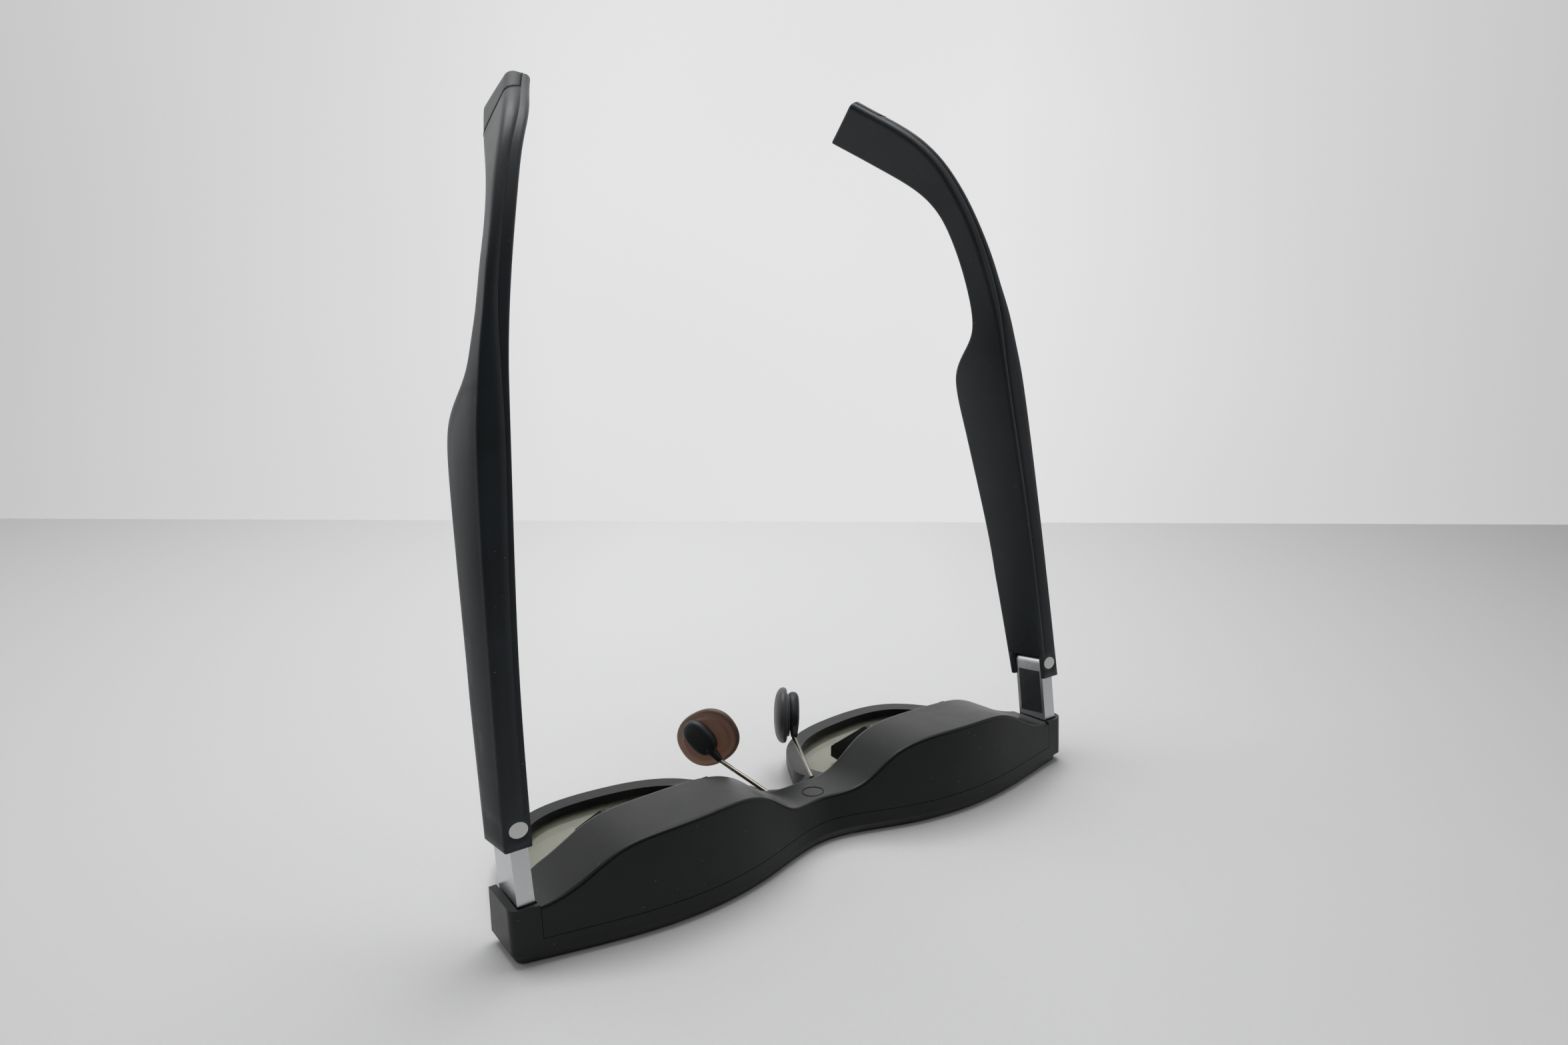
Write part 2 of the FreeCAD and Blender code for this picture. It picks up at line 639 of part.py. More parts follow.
def sensor_disc(radius):
    top = BRIDGE_Z - BAND_TILT * (SENSOR_Y - BAND_REF_Y)
    disc = rod(radius, vec(0, 0, -ROOF_THICK), AXIS_Z, 2 * ROOF_THICK)
    disc.rotate(ORIGIN, AXIS_X, -math.degrees(math.atan(BAND_TILT)))
    disc.translate(vec(0, SENSOR_Y, top))
    return disc


def bridge_sensor_window():
    return sensor_disc(SENSOR_RADIUS).common(hump_prism(0)).cut(hump_prism(ROOF_THICK))


def main_board():
    # Board along the brow shelf between the two displays, with the light sensor.
    half = OPTIC_X - OPTIC_HALF - BARREL_WALL
    top = SEAM_Z + BOARD_THICK
    board = block(-half, half, BOARD_TOP_Y, BOARD_LOW_Y, SEAM_Z, top)
    chip = block(-CHIP_HALF, CHIP_HALF, BOARD_TOP_Y + CHIP_MARGIN, BOARD_LOW_Y - CHIP_MARGIN, top,
                 top + CHIP_TALL)
    roof = BRIDGE_Z - BAND_TILT * (SENSOR_Y + SENSOR_CELL_RADIUS - BAND_REF_Y) - ROOF_THICK
    cell = rod(SENSOR_CELL_RADIUS, vec(0, SENSOR_Y, top), AXIS_Z, roof - SENSOR_CELL_GAP - top)
    board = board.fuse([chip, cell])
    holes = []
    for x, y in SCREW_SPOTS:
        holes += both(rod(POST_RADIUS + INSIDE_GAP, vec(x, y, 0), AXIS_Z, ENVELOPE_TOP))
    return board.cut(holes)


# ---------------------------------------------------------------- nose pads


def pad_frame(shape):
    # Local X is the pad's outward side, Y runs along it, Z stays up.
    turned = shape.copy()
    turned.rotate(ORIGIN, AXIS_Z, -PAD_YAW)
    turned.translate(vec(PAD_X, PAD_Y, PAD_Z))
    return turned


def pad_point(out, along, up):
    yaw = math.radians(PAD_YAW)
    x = out * math.cos(yaw) + along * math.sin(yaw)
    y = -out * math.sin(yaw) + along * math.cos(yaw)
    return vec(PAD_X + x, PAD_Y + y, PAD_Z + up)


def wire_path():
    # The last leg runs into the mount along the axis on which the pad rocks.
    middle = PAD_BACK + MOUNT_THICK / 2
    root = vec(WIRE_ROOT_X, WIRE_ROOT_Y, WIRE_ROOT_DEEP)
    knee = vec(WIRE_ROOT_X, WIRE_ROOT_Y, WIRE_KNEE_Z)
    entry = pad_point(middle, -WIRE_ENTRY_ALONG, -WIRE_ENTRY_DOWN)
    return [root, knee, entry, pad_point(middle, 0.3, 0.3)]


def nose_wire(radius):
    path = wire_path()
    wire = Part.makeSphere(radius, path[1])
    for a, b in zip(path[:-1], path[1:]):
        wire = wire.fuse(rod(radius, a, b - a, (b - a).Length))
    return wire.fuse(Part.makeSphere(radius, path[2]))


def pad_boss():
    # Round boss on the mount that the cushion is pressed over.
    boss = rod(BOSS_RADIUS, vec(PAD_BACK - BOSS_DEEP, 0, 0), AXIS_X, BOSS_DEEP)
    return pad_frame(boss)


def nose_pad():
    # Silicone cushion: crowned towards the nose, flat on the mount's side.
    oval = Part.Ellipse(ORIGIN, PAD_LONG / 2, PAD_TALL / 2).toShape()
    pad = Part.Face(Part.Wire([oval])).extrude(vec(0, 0, PAD_THICK))
    nose_side = [e for e in pad.Edges if e.BoundBox.ZMax < 0.01]
    pad = pad.makeFillet(PAD_ROUND, nose_side)
    back_side = [e for e in pad.Edges if e.BoundBox.ZMin > PAD_THICK - 0.01]
    pad = pad.makeFillet(PAD_BACK_ROUND, back_side)
    pad.rotate(ORIGIN, AXIS_Z, 90)
    pad.rotate(ORIGIN, AXIS_Y, 90)
    pad.translate(vec(PAD_BACK - PAD_THICK, 0, 0))
    return pad_frame(pad).cut(pad_boss())


def pad_mount():
    body = block(PAD_BACK, PAD_BACK + MOUNT_THICK, -MOUNT_LONG / 2, MOUNT_LONG / 2,
                 -MOUNT_TALL / 2, MOUNT_TALL / 2)
    body = body.makeFillet(MOUNT_CORNER, [e for e in body.Edges if e.BoundBox.XLength > 1])
    body.rotate(ORIGIN, AXIS_X, MOUNT_LEAN)
    return pad_frame(body).fuse(pad_boss()).cut(nose_wire(WIRE_RADIUS + WIRE_FIT))


# ---------------------------------------------------------------- hinge arm


def local_pivot():
    # The tilt pin's place in the temple's own frame: (height, length).
    tilt = math.radians(TEMPLE_TILT)
    height = TILT_Y * math.cos(tilt) - TILT_Z * math.sin(tilt)
    length = TILT_Y * math.sin(tilt) + TILT_Z * math.cos(tilt)
    return height, length


def cover_seat():
    inner = PIN_X - ARM_HALF
    return block(inner, inner + COVER_THICK, ARM_TOP_V + COVER_MARGIN, ARM_LOW_V - COVER_MARGIN,
                 COVER_START_L, COVER_END_L)


def hinge_arm():
    height, length = local_pivot()
    x0 = PIN_X - ARM_HALF
    x1 = PIN_X + ARM_HALF
    bar = block(x0, x1, ARM_TOP_V, ARM_LOW_V, ARM_FOOT_L, PIN_L)
    head = rod(ARM_HALF, vec(PIN_X, ARM_TOP_V, PIN_L), AXIS_Y, ARM_TALL)
    lug = rod(LUG_RADIUS, vec(x0, height, length), AXIS_X, ARM_WIDE)
    neck = block(x0, x1, height - LUG_RADIUS, height + LUG_RADIUS, length, ARM_FOOT_L)
    arm = bar.fuse([head, lug, neck]).removeSplitter()
    pin_bore = rod(PIN_RADIUS + PIN_CLEARANCE, vec(PIN_X, ARM_TOP_V - 1, PIN_L), AXIS_Y,
                   ARM_TALL + 2)
    tilt_bore = rod(TILT_PIN_RADIUS + PIN_CLEARANCE, vec(x0 - 1, height, length), AXIS_X,
                    ARM_WIDE + 2)
    return tilted(arm.cut([cover_seat(), pin_bore, tilt_bore]))


def arm_cover():
    return tilted(cover_seat())


# ---------------------------------------------------------------- temple


def at_side(shift):
    return HALF_WIDTH - shift


def plan_curve(points, shift):
    return [(l, at_side(d) + shift) for l, d in points]


def split_curve(shift):
    # Seam between the shells: near the inner face, then midway along the slim arm.
    points = []
    for l, d in INNER_PLAN:
        if l <= SPLIT_TURN:
            points.append((l, at_side(d) + INNER_SHELL + shift))
        elif l > SPLIT_MIDDLE:
            points.append((l, at_side(d) + SPLIT_DEPTH + shift))
    return points


def lean_rate(length):
    # Straight between the drawn points, nothing before the first.
    if length <= INWARD_LEAN[0][0]:
        return INWARD_LEAN[0][1]
    for (l0, r0), (l1, r1) in zip(INWARD_LEAN[:-1], INWARD_LEAN[1:]):
        if length <= l1:
            return r0 + (r1 - r0) * (length - l0) / (l1 - l0)
    return INWARD_LEAN[-1][1]


def band_wire(inner, outer, height):
    near = [vec(x - lean_rate(l) * height, height, l) for l, x in inner]
    far = [vec(x - lean_rate(l) * height, height, l) for l, x in reversed(outer)]
    return Part.Wire([spline(near), line(near[-1], far[0]), spline(far), line(far[-1], near[0])])


def band(inner, outer, l0, l1):
    # Slice of the temple's plan between two curves of (length, side place).
    wires = [band_wire(inner, outer, FAR_TOP_Y), band_wire(inner, outer, FAR_LOW_Y)]
    solid = Part.makeLoft(wires, True, True)
    return solid.common(block(0, FAR_X, FAR_TOP_Y, FAR_LOW_Y, l0, l1))


def side_prism():
    top = [vec(0, v, l) for l, v in TOP_EDGE]
    low = [vec(0, v, l) for l, v in LOW_EDGE]
    start_top = vec(0, TEMPLE_TOP_V, TEMPLE_START)
    start_low = vec(0, ROOT_LOW_V, TEMPLE_START)
    edges = [line(start_top, top[0]), spline(top), line(top[-1], low[0]), spline(low)]
    edges += [line(low[-1], start_low), line(start_low, start_top)]
    return Part.Face(Part.Wire(edges)).extrude(vec(FAR_X, 0, 0))


def tip_directions():
    # Out of the tip, and square through its thickness.
    top = TOP_EDGE[-2]
    low = LOW_EDGE[1]
    run = math.hypot(low[0] - top[0], low[1] - top[1])
    out_l = (low[1] - top[1]) / run
    out_v = (top[0] - low[0]) / run
    slope = (INNER_PLAN[-3][1] - INNER_PLAN[-2][1]) / (INNER_PLAN[-2][0] - INNER_PLAN[-3][0])
    out = vec(slope * out_l, out_v, out_l).normalize()
    thin = vec(1, 0, -slope).normalize()
    return out, thin


def tip_point(share):
    # Point on the tip's inner edge, from its top corner (0) to its low corner (1).
    top = TOP_EDGE[-2]
    low = LOW_EDGE[1]
    length = top[0] + share * (low[0] - top[0])
    height = top[1] + share * (low[1] - top[1])
    before = INNER_PLAN[-3]
    after = INNER_PLAN[-2]
    rate = (after[1] - before[1]) / (after[0] - before[0])
    side = at_side(before[1] + rate * (length - before[0])) - lean_rate(length) * height
    return vec(side, height, length)


def at_tip(shape, share, depth):
    # Local X runs across the plug, Y through its thickness, Z out of the tip.
    out, thin = tip_directions()
    across = thin.cross(out)
    p = tip_point(share) + thin * depth
    m = FreeCAD.Matrix(across.x, thin.x, out.x, p.x, across.y, thin.y, out.y, p.y,
                       across.z, thin.z, out.z, p.z, 0, 0, 0, 1)
    turned = shape.copy()
    turned.Placement = FreeCAD.Placement(m)
    return turned


def tip_thickness():
    out, thin = tip_directions()
    return (OUTER_PLAN[-2][1] - INNER_PLAN[-2][1]) * -thin.x


def tip_distance(edge, corner):
    ends = [edge.valueAt(edge.FirstParameter), edge.valueAt(edge.LastParameter)]
    return min((p - corner).Length for p in ends)


def grown_round(body, share, depth, root_round, tip_round):
    # Rounds the long edge that starts at one corner of the tip, more and more towards it.
    out, thin = tip_directions()
    corner = tip_point(share) + thin * depth
    long_edges = [e for e in body.Edges if e.Length > FAR_L / 3]
    edge = min(long_edges, key=lambda e: tip_distance(e, corner))
    starts_at_tip = edge.valueAt(edge.FirstParameter).z > edge.valueAt(edge.LastParameter).z
    if starts_at_tip:
        return body.makeFillet(tip_round, root_round, [edge])
    return body.makeFillet(root_round, tip_round, [edge])


def temple_solid():
    body = side_prism().common(band(plan_curve(INNER_PLAN, 0), plan_curve(OUTER_PLAN, 0),
                                    NEAR_L, FAR_L))
    body = body.cut(at_tip(block(-FAR_L, FAR_L, -FAR_L, FAR_L, 0, FAR_L), 0.5, 0))
    depth = tip_thickness()
    body = grown_round(body, 0, depth, CREASE_ROUND, OUTER_TIP_ROUND)
    body = grown_round(body, 1, depth, TEMPLE_ROUND, OUTER_TIP_ROUND)
    body = grown_round(body, 0, 0, CREASE_ROUND, INNER_TIP_ROUND)
    body = grown_round(body, 1, 0, TEMPLE_ROUND, TEMPLE_ROUND)
    return body.makeFillet(TIP_END_ROUND, end_edges(body))


def end_edges(body):
    # Edges of the flat face at the tip's end.
    out, thin = tip_directions()
    base = tip_point(0.5)
    found = []
    for e in body.Edges:
        if all(abs((v.Point - base).dot(out)) < 0.01 for v in e.Vertexes):
            found.append(e)
    return found


def cavity():
    top = TEMPLE_TOP_V + SHELL_WALL
    points = [vec(0, top, CAVITY_LOW[0][0])]
    points += [vec(0, v, l) for l, v in CAVITY_LOW]
    points.append(vec(0, top + CAVITY_END_STEP, CAVITY_LOW[-1][0]))
    room = polygon(points).extrude(vec(FAR_X, 0, 0))
    sides = band(split_curve(-SPLIT_SEAM_GAP), plan_curve(OUTER_PLAN, -SIDE_WALL), NEAR_L, FAR_L)
    return room.common(sides)


def hinge_room():
    # Room for the arm's head, open towards the face.
    return block(0, PIN_X + ARM_HALF + ARM_GAP, ARM_TOP_V - ARM_GAP, ARM_LOW_V + ARM_GAP, 0,
                 INNER_START)


def hinge_pin():
    foot = ARM_LOW_V + ARM_GAP + PIN_FOOT_DEEP
    top = TEMPLE_TOP_V
    shaft = rod(PIN_RADIUS, vec(PIN_X, top + CAP_THICK, PIN_L), AXIS_Y, foot - top - CAP_THICK)
    oval = Part.Ellipse(ORIGIN, CAP_WIDE / 2, CAP_LONG / 2).toShape()
    cap = Part.Face(Part.Wire([oval])).extrude(vec(0, 0, CAP_THICK))
    cap.rotate(ORIGIN, AXIS_X, -90)
    cap.translate(vec(PIN_X, top, PIN_L))
    return shaft.fuse(cap)


def outer_zone():
    return band(split_curve(0), plan_curve(OUTER_PLAN, 3), NEAR_L, FAR_L)


def cap_zone():
    # Everything beyond the tip seam, which runs square across the arm.
    seam_l, seam_v = SEAM_POINT
    top = TOP_EDGE[-3]
    end = TOP_EDGE[-2]
    angle = math.degrees(math.atan2(end[1] - top[1], end[0] - top[0]))
    zone = block(-FAR_X, FAR_X, -FAR_LOW_Y, FAR_LOW_Y, 0, FAR_LOW_Y)
    zone.rotate(ORIGIN, AXIS_X, -angle)
    zone.translate(vec(0, seam_v, seam_l))
    return zone


def inner_shell(temple):
    half = temple.cut(outer_zone())
    return half.common(block(0, FAR_X, FAR_TOP_Y, FAR_LOW_Y, INNER_START, FAR_L))


def outer_shell(temple):
    root = temple.common(block(0, FAR_X, FAR_TOP_Y, FAR_LOW_Y, 0, INNER_START))
    half = temple.common(outer_zone()).cut(cap_zone())
    shell = half.fuse(root).removeSplitter()
    return shell.cut([hinge_room(), cavity(), hinge_pin(), grille_seat(), grille_throat()])


def tip_cap(temple):
    return temple.common(outer_zone()).common(cap_zone())


# ---------------------------------------------------------------- inside the temples


def slice_band(near, far, v0, v1, l0, l1):
    # Flat-lying piece that follows the shells' seam, a set distance out from it.
    piece = band(split_curve(near), split_curve(far), NEAR_L, FAR_L)
    return piece.common(block(0, FAR_X, v0, v1, l0, l1))


def temple_board():
    top = TEMPLE_TOP_V + SHELL_WALL + INSIDE_GAP
    board = slice_band(0, TEMPLE_BOARD_THICK, top, TEMPLE_BOARD_LOW_V, TEMPLE_BOARD_START,
                       TEMPLE_BOARD_END)
    middle = (TEMPLE_BOARD_START + TEMPLE_BOARD_END) / 2
    chip = slice_band(TEMPLE_BOARD_THICK, TEMPLE_BOARD_THICK + CHIP_TALL, top + CHIP_MARGIN,
                      TEMPLE_BOARD_LOW_V - CHIP_MARGIN, middle, middle + 2 * CHIP_HALF)
    return board.fuse(chip)


def speaker():
    low = CAVITY_LOW[2][1] - INSIDE_GAP
    depth = at_side(OUTER_PLAN[4][1]) - SIDE_WALL - at_side(INNER_PLAN[4][1]) - INNER_SHELL
    return slice_band(0, depth - 3 * INSIDE_GAP, SPEAKER_TOP_V, low, SPEAKER_START, SPEAKER_END)


def grille_side(shrink):
    near = split_curve(GRILLE_INSET + shrink)
    far = split_curve(GRILLE_INSET + GRILLE_WIDE - shrink)
    return band(near, far, GRILLE_START + shrink, GRILLE_START + GRILLE_LONG - shrink)


def grille_face(deep):
    # Layer under the temple's low edge, as deep as asked.
    low = [vec(0, v, l) for l, v in LOW_EDGE]
    raised = [vec(0, p.y - deep, p.z) for p in low]
    wire = Part.Wire([spline(low), line(low[-1], raised[-1]), spline(raised),
                      line(raised[0], low[0])])
    return Part.Face(wire).extrude(vec(FAR_X, 0, 0))


def grille_seat():
    return grille_face(GRILLE_THICK).common(grille_side(0))


def grille_throat():
    return grille_face(3 * GRILLE_THICK).common(grille_side(GRILLE_LEDGE))


def speaker_grille():
    grille = grille_seat()
    pitch = GRILLE_LONG / GRILLE_HOLES
    holes = []
    before, after = INNER_PLAN[3], INNER_PLAN[4]
    rate = (after[1] - before[1]) / (after[0] - before[0])
    for step in range(GRILLE_HOLES):
        length = GRILLE_START + (step + 0.5) * pitch
        inner = at_side(before[1] + rate * (length - before[0]))
        middle = inner + INNER_SHELL + GRILLE_INSET + GRILLE_WIDE / 2
        holes.append(rod(GRILLE_HOLE, vec(middle, 0, length), AXIS_Y, FAR_LOW_Y))
    return grille.cut(holes)


def low_edge_v(length):
    # Height of the temple's low edge between its last two drawn points.
    before = LOW_EDGE[-1]
    rate = (before[1] - ROOT_LOW_V) / (before[0] - TEMPLE_START)
    return ROOT_LOW_V + rate * (length - TEMPLE_START)


def plan_side(points, length):
    # Side place of the plan curve between its second and third drawn points.
    before = points[1]
    after = points[2]
    share = (length - before[0]) / (after[0] - before[0])
    return at_side(before[1] + share * (after[1] - before[1]))


def control_x(length):
    # Outward of the middle of the outer shell's room, clear of the shells' seam.
    inner = plan_side(INNER_PLAN, length) + INNER_SHELL
    return (inner + plan_side(OUTER_PLAN, length) - SIDE_WALL) / 2 + CONTROL_SHIFT


def button_x():
    return control_x(BUTTON_START + BUTTON_LONG / 2)


def button_stem(fit):
    x = button_x()
    half = BUTTON_WIDE / 2 + fit
    end = BUTTON_START + BUTTON_LONG
    low = low_edge_v(BUTTON_START + BUTTON_LONG / 2) + BUTTON_PROUD
    return block(x - half, x + half, TEMPLE_BOARD_LOW_V + BUTTON_TRAVEL_ROOM, low, BUTTON_START - fit,
                 end + fit)


def button_flange(fit, travel):
    # As wide as the stem, with a lip past the slot at each end.
    x = button_x()
    half = BUTTON_WIDE / 2 + fit
    lip = BUTTON_CLEARANCE + BUTTON_FLANGE_LIP + fit
    top = TEMPLE_BOARD_LOW_V + BUTTON_TRAVEL_ROOM
    return block(x - half, x + half, top - travel, top + BUTTON_FLANGE + fit, BUTTON_START - lip,
                 BUTTON_START + BUTTON_LONG + lip)


def mode_button():
    return button_stem(0).fuse(button_flange(0, 0))


def rocker_pivot():
    length = ROCKER_START + ROCKER_LONG / 2
    return vec(control_x(length), low_edge_v(length) - ROCKER_PIN_DEEP, length)


def rocker_body(side_fit, end_fit, swing):
    x = rocker_pivot().x
    half = ROCKER_WIDE / 2 + side_fit
    l0 = ROCKER_START - end_fit
    l1 = ROCKER_START + ROCKER_LONG + end_fit
    points = []
    deep = -ROCKER_DEEP - swing
    corners = [(l0, deep), (l1, deep), (l1, ROCKER_PROUD), (l0, ROCKER_PROUD)]
    for length, lift in corners:
        points.append(vec(x - half, low_edge_v(length) + lift, length))
    return polygon(points).extrude(vec(2 * half, 0, 0))


def rocker_shaft(fit, reach):
    pivot = rocker_pivot()
    half = ROCKER_WIDE / 2 + reach
    return rod(ROCKER_PIN_RADIUS + fit, vec(pivot.x - half, pivot.y, pivot.z), AXIS_X, 2 * half)


def brightness_rocker():
    return rocker_body(0, 0, 0).fuse(rocker_shaft(0, ROCKER_PIN_REACH))


def control_tools():
    # Slots under the right temple for the button and the rocker over their whole travel.
    return [button_stem(BUTTON_CLEARANCE), button_flange(BUTTON_ROOM, BUTTON_TRAVEL_ROOM),
            rocker_body(BUTTON_CLEARANCE, ROCKER_END_CLEARANCE, ROCKER_SWING_ROOM),
            rocker_shaft(PIN_CLEARANCE, ROCKER_PIN_REACH + PIN_CLEARANCE)]


# ---------------------------------------------------------------- USB-C receptacle


def slot(wide, thick, start, end):
    body = block(-wide / 2, wide / 2, -thick / 2, thick / 2, start, end)
    corners = [e for e in body.Edges if e.BoundBox.ZLength > end - start - 0.01]
    return body.makeFillet(thick / 2 - USB_END_FLAT, corners)


def usb_c_socket():
    shell = slot(USB_WIDE, USB_THICK, -USB_LONG, 0)
    mouth = slot(USB_MOUTH_WIDE, USB_MOUTH_THICK, -USB_DEPTH, 0)
    tongue = block(-USB_TONGUE_WIDE / 2, USB_TONGUE_WIDE / 2, -USB_TONGUE_THICK / 2,
                   USB_TONGUE_THICK / 2, -USB_DEPTH, USB_TONGUE_LONG - USB_DEPTH)
    return at_tip(shell.cut(mouth).fuse(tongue), 0.5, tip_thickness() / 2)


def usb_room():
    return at_tip(slot(USB_WIDE, USB_THICK, -USB_LONG, 1), 0.5, tip_thickness() / 2)


def flex_strip(half):
    near = [vec(0, v - half, l) for l, v in FLEX_LINE]
    far = [vec(0, v + half, l) for l, v in reversed(FLEX_LINE)]
    wire = Part.Wire([spline(near), line(near[-1], far[0]), spline(far), line(far[-1], near[0])])
    return Part.Face(wire).extrude(vec(FAR_X, 0, 0))


def power_flex():
    sides = band(split_curve(0), split_curve(FLEX_THICK), NEAR_L, FAR_L)
    return flex_strip(FLEX_HALF).common(sides).cut(usb_room())


def flex_channel():
    sides = band(split_curve(-SPLIT_SEAM_GAP), split_curve(FLEX_THICK + FLEX_ROOM), NEAR_L, FAR_L)
    return flex_strip(FLEX_HALF + FLEX_ROOM).common(sides)


# ---------------------------------------------------------------- files


def save(name, shape):
    if shape.ShapeType == "Compound" and len(shape.Solids) == 1:
        shape = shape.Solids[0]
    placed = shape.copy()
    placed.translate(vec(0, -REST_Y, 0))
    placed.exportStep("parts/" + name + ".step")


def save_pair(name, shape):
    save("left_" + name, shape)
    save("right_" + name, mirrored(shape))


def save_front():
    save("front_frame", front_frame())
    save("front_visor", front_visor())
    save("rear_housing", rear_housing())
    save("bridge_sensor_window", bridge_sensor_window())
    save("main_board", main_board())
    save("housing_screws", housing_screws())
    save_pair("display_barrel", display_barrel())
    save_pair("display_panel", display_panel())
    save_pair("field_lens", field_lens())
    save_pair("beam_splitter", beam_splitter())
    save_pair("combiner", combiner())
    save_pair("optics_holder", optics_holder())
    save_pair("nose_wire", nose_wire(WIRE_RADIUS))
    save_pair("nose_pad", nose_pad())
    save_pair("pad_mount", pad_mount())
    save_pair("tilt_pin", tilt_pin())


def save_temples():
    temple = temple_solid()
    inner = inner_shell(temple)
    outer = outer_shell(temple)
    cap = tip_cap(temple)
    save("left_temple_inner_shell", tilted(inner.cut(usb_room())))
    save("left_temple_outer_shell", tilted(outer.cut([usb_room(), flex_channel()])))
    save("left_tip_cap", tilted(cap.cut([usb_room(), flex_channel()])))
    save("right_temple_inner_shell", mirrored(tilted(inner)))
    save("right_temple_outer_shell", mirrored(tilted(outer.cut(control_tools()))))
    save("right_tip_cap", mirrored(tilted(cap)))
    save("usb_c_socket", tilted(usb_c_socket()))
    save("power_flex", tilted(power_flex()))
    save("mode_button", mirrored(tilted(mode_button())))
    save("brightness_rocker", mirrored(tilted(brightness_rocker())))
    save_pair("hinge_arm", hinge_arm())
    save_pair("arm_cover", arm_cover())
    save_pair("hinge_pin", tilted(hinge_pin()))
    save_pair("temple_board", tilted(temple_board()))
    save_pair("speaker", tilted(speaker()))
    save_pair("speaker_grille", tilted(speaker_grille()))


os.makedirs("parts", exist_ok=True)
save_front()
save_temples()
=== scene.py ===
import json
import math

import bmesh
import bpy
from mathutils import Matrix, Vector


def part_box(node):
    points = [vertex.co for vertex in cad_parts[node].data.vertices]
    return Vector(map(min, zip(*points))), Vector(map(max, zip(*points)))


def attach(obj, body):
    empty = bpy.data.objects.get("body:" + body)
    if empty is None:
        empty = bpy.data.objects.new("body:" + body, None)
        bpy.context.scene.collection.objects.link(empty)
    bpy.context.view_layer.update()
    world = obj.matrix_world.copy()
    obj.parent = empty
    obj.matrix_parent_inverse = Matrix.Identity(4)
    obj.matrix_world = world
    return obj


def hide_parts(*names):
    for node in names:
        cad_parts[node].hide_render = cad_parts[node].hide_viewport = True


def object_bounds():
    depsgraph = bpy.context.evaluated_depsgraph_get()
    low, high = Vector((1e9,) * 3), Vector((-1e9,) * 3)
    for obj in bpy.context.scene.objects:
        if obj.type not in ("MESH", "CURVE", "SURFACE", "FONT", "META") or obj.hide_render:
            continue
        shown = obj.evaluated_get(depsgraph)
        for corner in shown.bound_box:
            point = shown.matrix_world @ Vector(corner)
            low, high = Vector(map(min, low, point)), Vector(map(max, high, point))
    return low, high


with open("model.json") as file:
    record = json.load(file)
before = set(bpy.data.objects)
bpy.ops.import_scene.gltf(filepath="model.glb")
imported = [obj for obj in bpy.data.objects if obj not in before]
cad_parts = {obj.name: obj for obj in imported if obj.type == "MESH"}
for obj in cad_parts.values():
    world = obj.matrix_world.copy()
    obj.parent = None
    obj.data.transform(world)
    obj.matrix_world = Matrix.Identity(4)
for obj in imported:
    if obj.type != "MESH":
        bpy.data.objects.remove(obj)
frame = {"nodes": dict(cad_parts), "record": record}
CAD_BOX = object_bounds()
MM = 0.001

# ---- where the camera stands, in the frame's own axes ----
CAMERA_PLACE = Vector((-134.087, -177.152, 129.106)) * MM
CAMERA_AZIMUTH = math.radians(-35.492)
CAMERA_ELEVATION = math.radians(14.646)
CAMERA_ROLL = math.radians(0.2236)
SENSOR_WIDE = 36.0
LENS_LONG = 25.42

# ---- clear windows of the visor ----
EYE_MIDDLE_X = 36.5 * MM
EYE_MIDDLE_Y = 17.9 * MM
EYE_HALF_WIDE = 28.6 * MM
EYE_HALF_TALL = 18.2 * MM
EYE_SQUARENESS = 3.0

# ---- temples ----
TEMPLE_TILT = math.radians(10.0)
REST_DROP = 6.0 * MM
SIDE_TOP = -3.8 * MM
SIDE_LOW = 12.0 * MM
CROWN_FADE = 24.0 * MM
CROWN_LEAN = -0.17
CROWN_TURN = 0.23
CROWN_END = 128.0 * MM

# ---- nose pads: cushion, mount and the sleeve over the wire ----
PAD_YAW = math.radians(34.7)
PAD_LEAN = math.radians(35.0)
PAD_HALF_LONG = 8.1 * MM
PAD_HALF_TALL = 6.6 * MM
PAD_OUTWARD = 0.5 * MM
PAD_SQUARENESS = 2.25
PAD_STEPS = 72
PAD_CROWN = 0.03 * MM
MOUNT_HALF_LONG = 4.6 * MM
MOUNT_HALF_WIDE = 3.2 * MM
MOUNT_SHIFT = 0.8 * MM
MOUNT_INWARD = 1.2 * MM
MOUNT_SQUARENESS = 2.4
MOUNT_STEPS = 64
MOUNT_CROWN = 0.01 * MM
SLEEVE_START = 2.4 * MM
SLEEVE_END = 6.2 * MM
SLEEVE_RINGS = 8
SLEEVE_STEPS = 32
SLEEVE_LIP = 0.82
SLEEVE_START_RADIUS = 1.25 * MM
SLEEVE_END_RADIUS = 0.75 * MM

# ---- fine lines: the sensor window's joint and the tip caps' seams ----
WINDOW_THICK = 1.62 * MM
WINDOW_RIM = 0.09 * MM
WINDOW_STEPS = 72
SEAM_RADIUS = 0.07 * MM
SEAM_TURN = math.radians(40)
SEAM_LEAST_POINTS = 4
WELD_GAP = 0.001 * MM

# ---- studio ----
ROOM_HALF_WIDE = 750 * MM
ROOM_BEHIND = 274 * MM
ROOM_FRONT = 700 * MM
ROOM_CORNER = 240 * MM
ROOM_TALL = 900 * MM
CORNER_STEPS = 12
COVE_RADIUS = 16 * MM
COVE_STEPS = 8
FLOOR_DROP = 0.02 * MM
COVE_LIFT = 0.05 * MM
WALL_TONE = 0.755
# painted shade: the backdrop's glow at its two sides
WALL_SIDE_SHADE_TONE = 0.50
FLOOR_TONE = 0.78
FLOOR_LIGHT = 0.26
# painted shade: share of the floor's tone left at its two sides
FLOOR_SIDE_SHADE_SHARE = 0.62
SOFTBOX_POWER = 3.3
SIDE_POWER = 0.5
CLIP_NEAR = 0.01
CLIP_FAR = 10.0

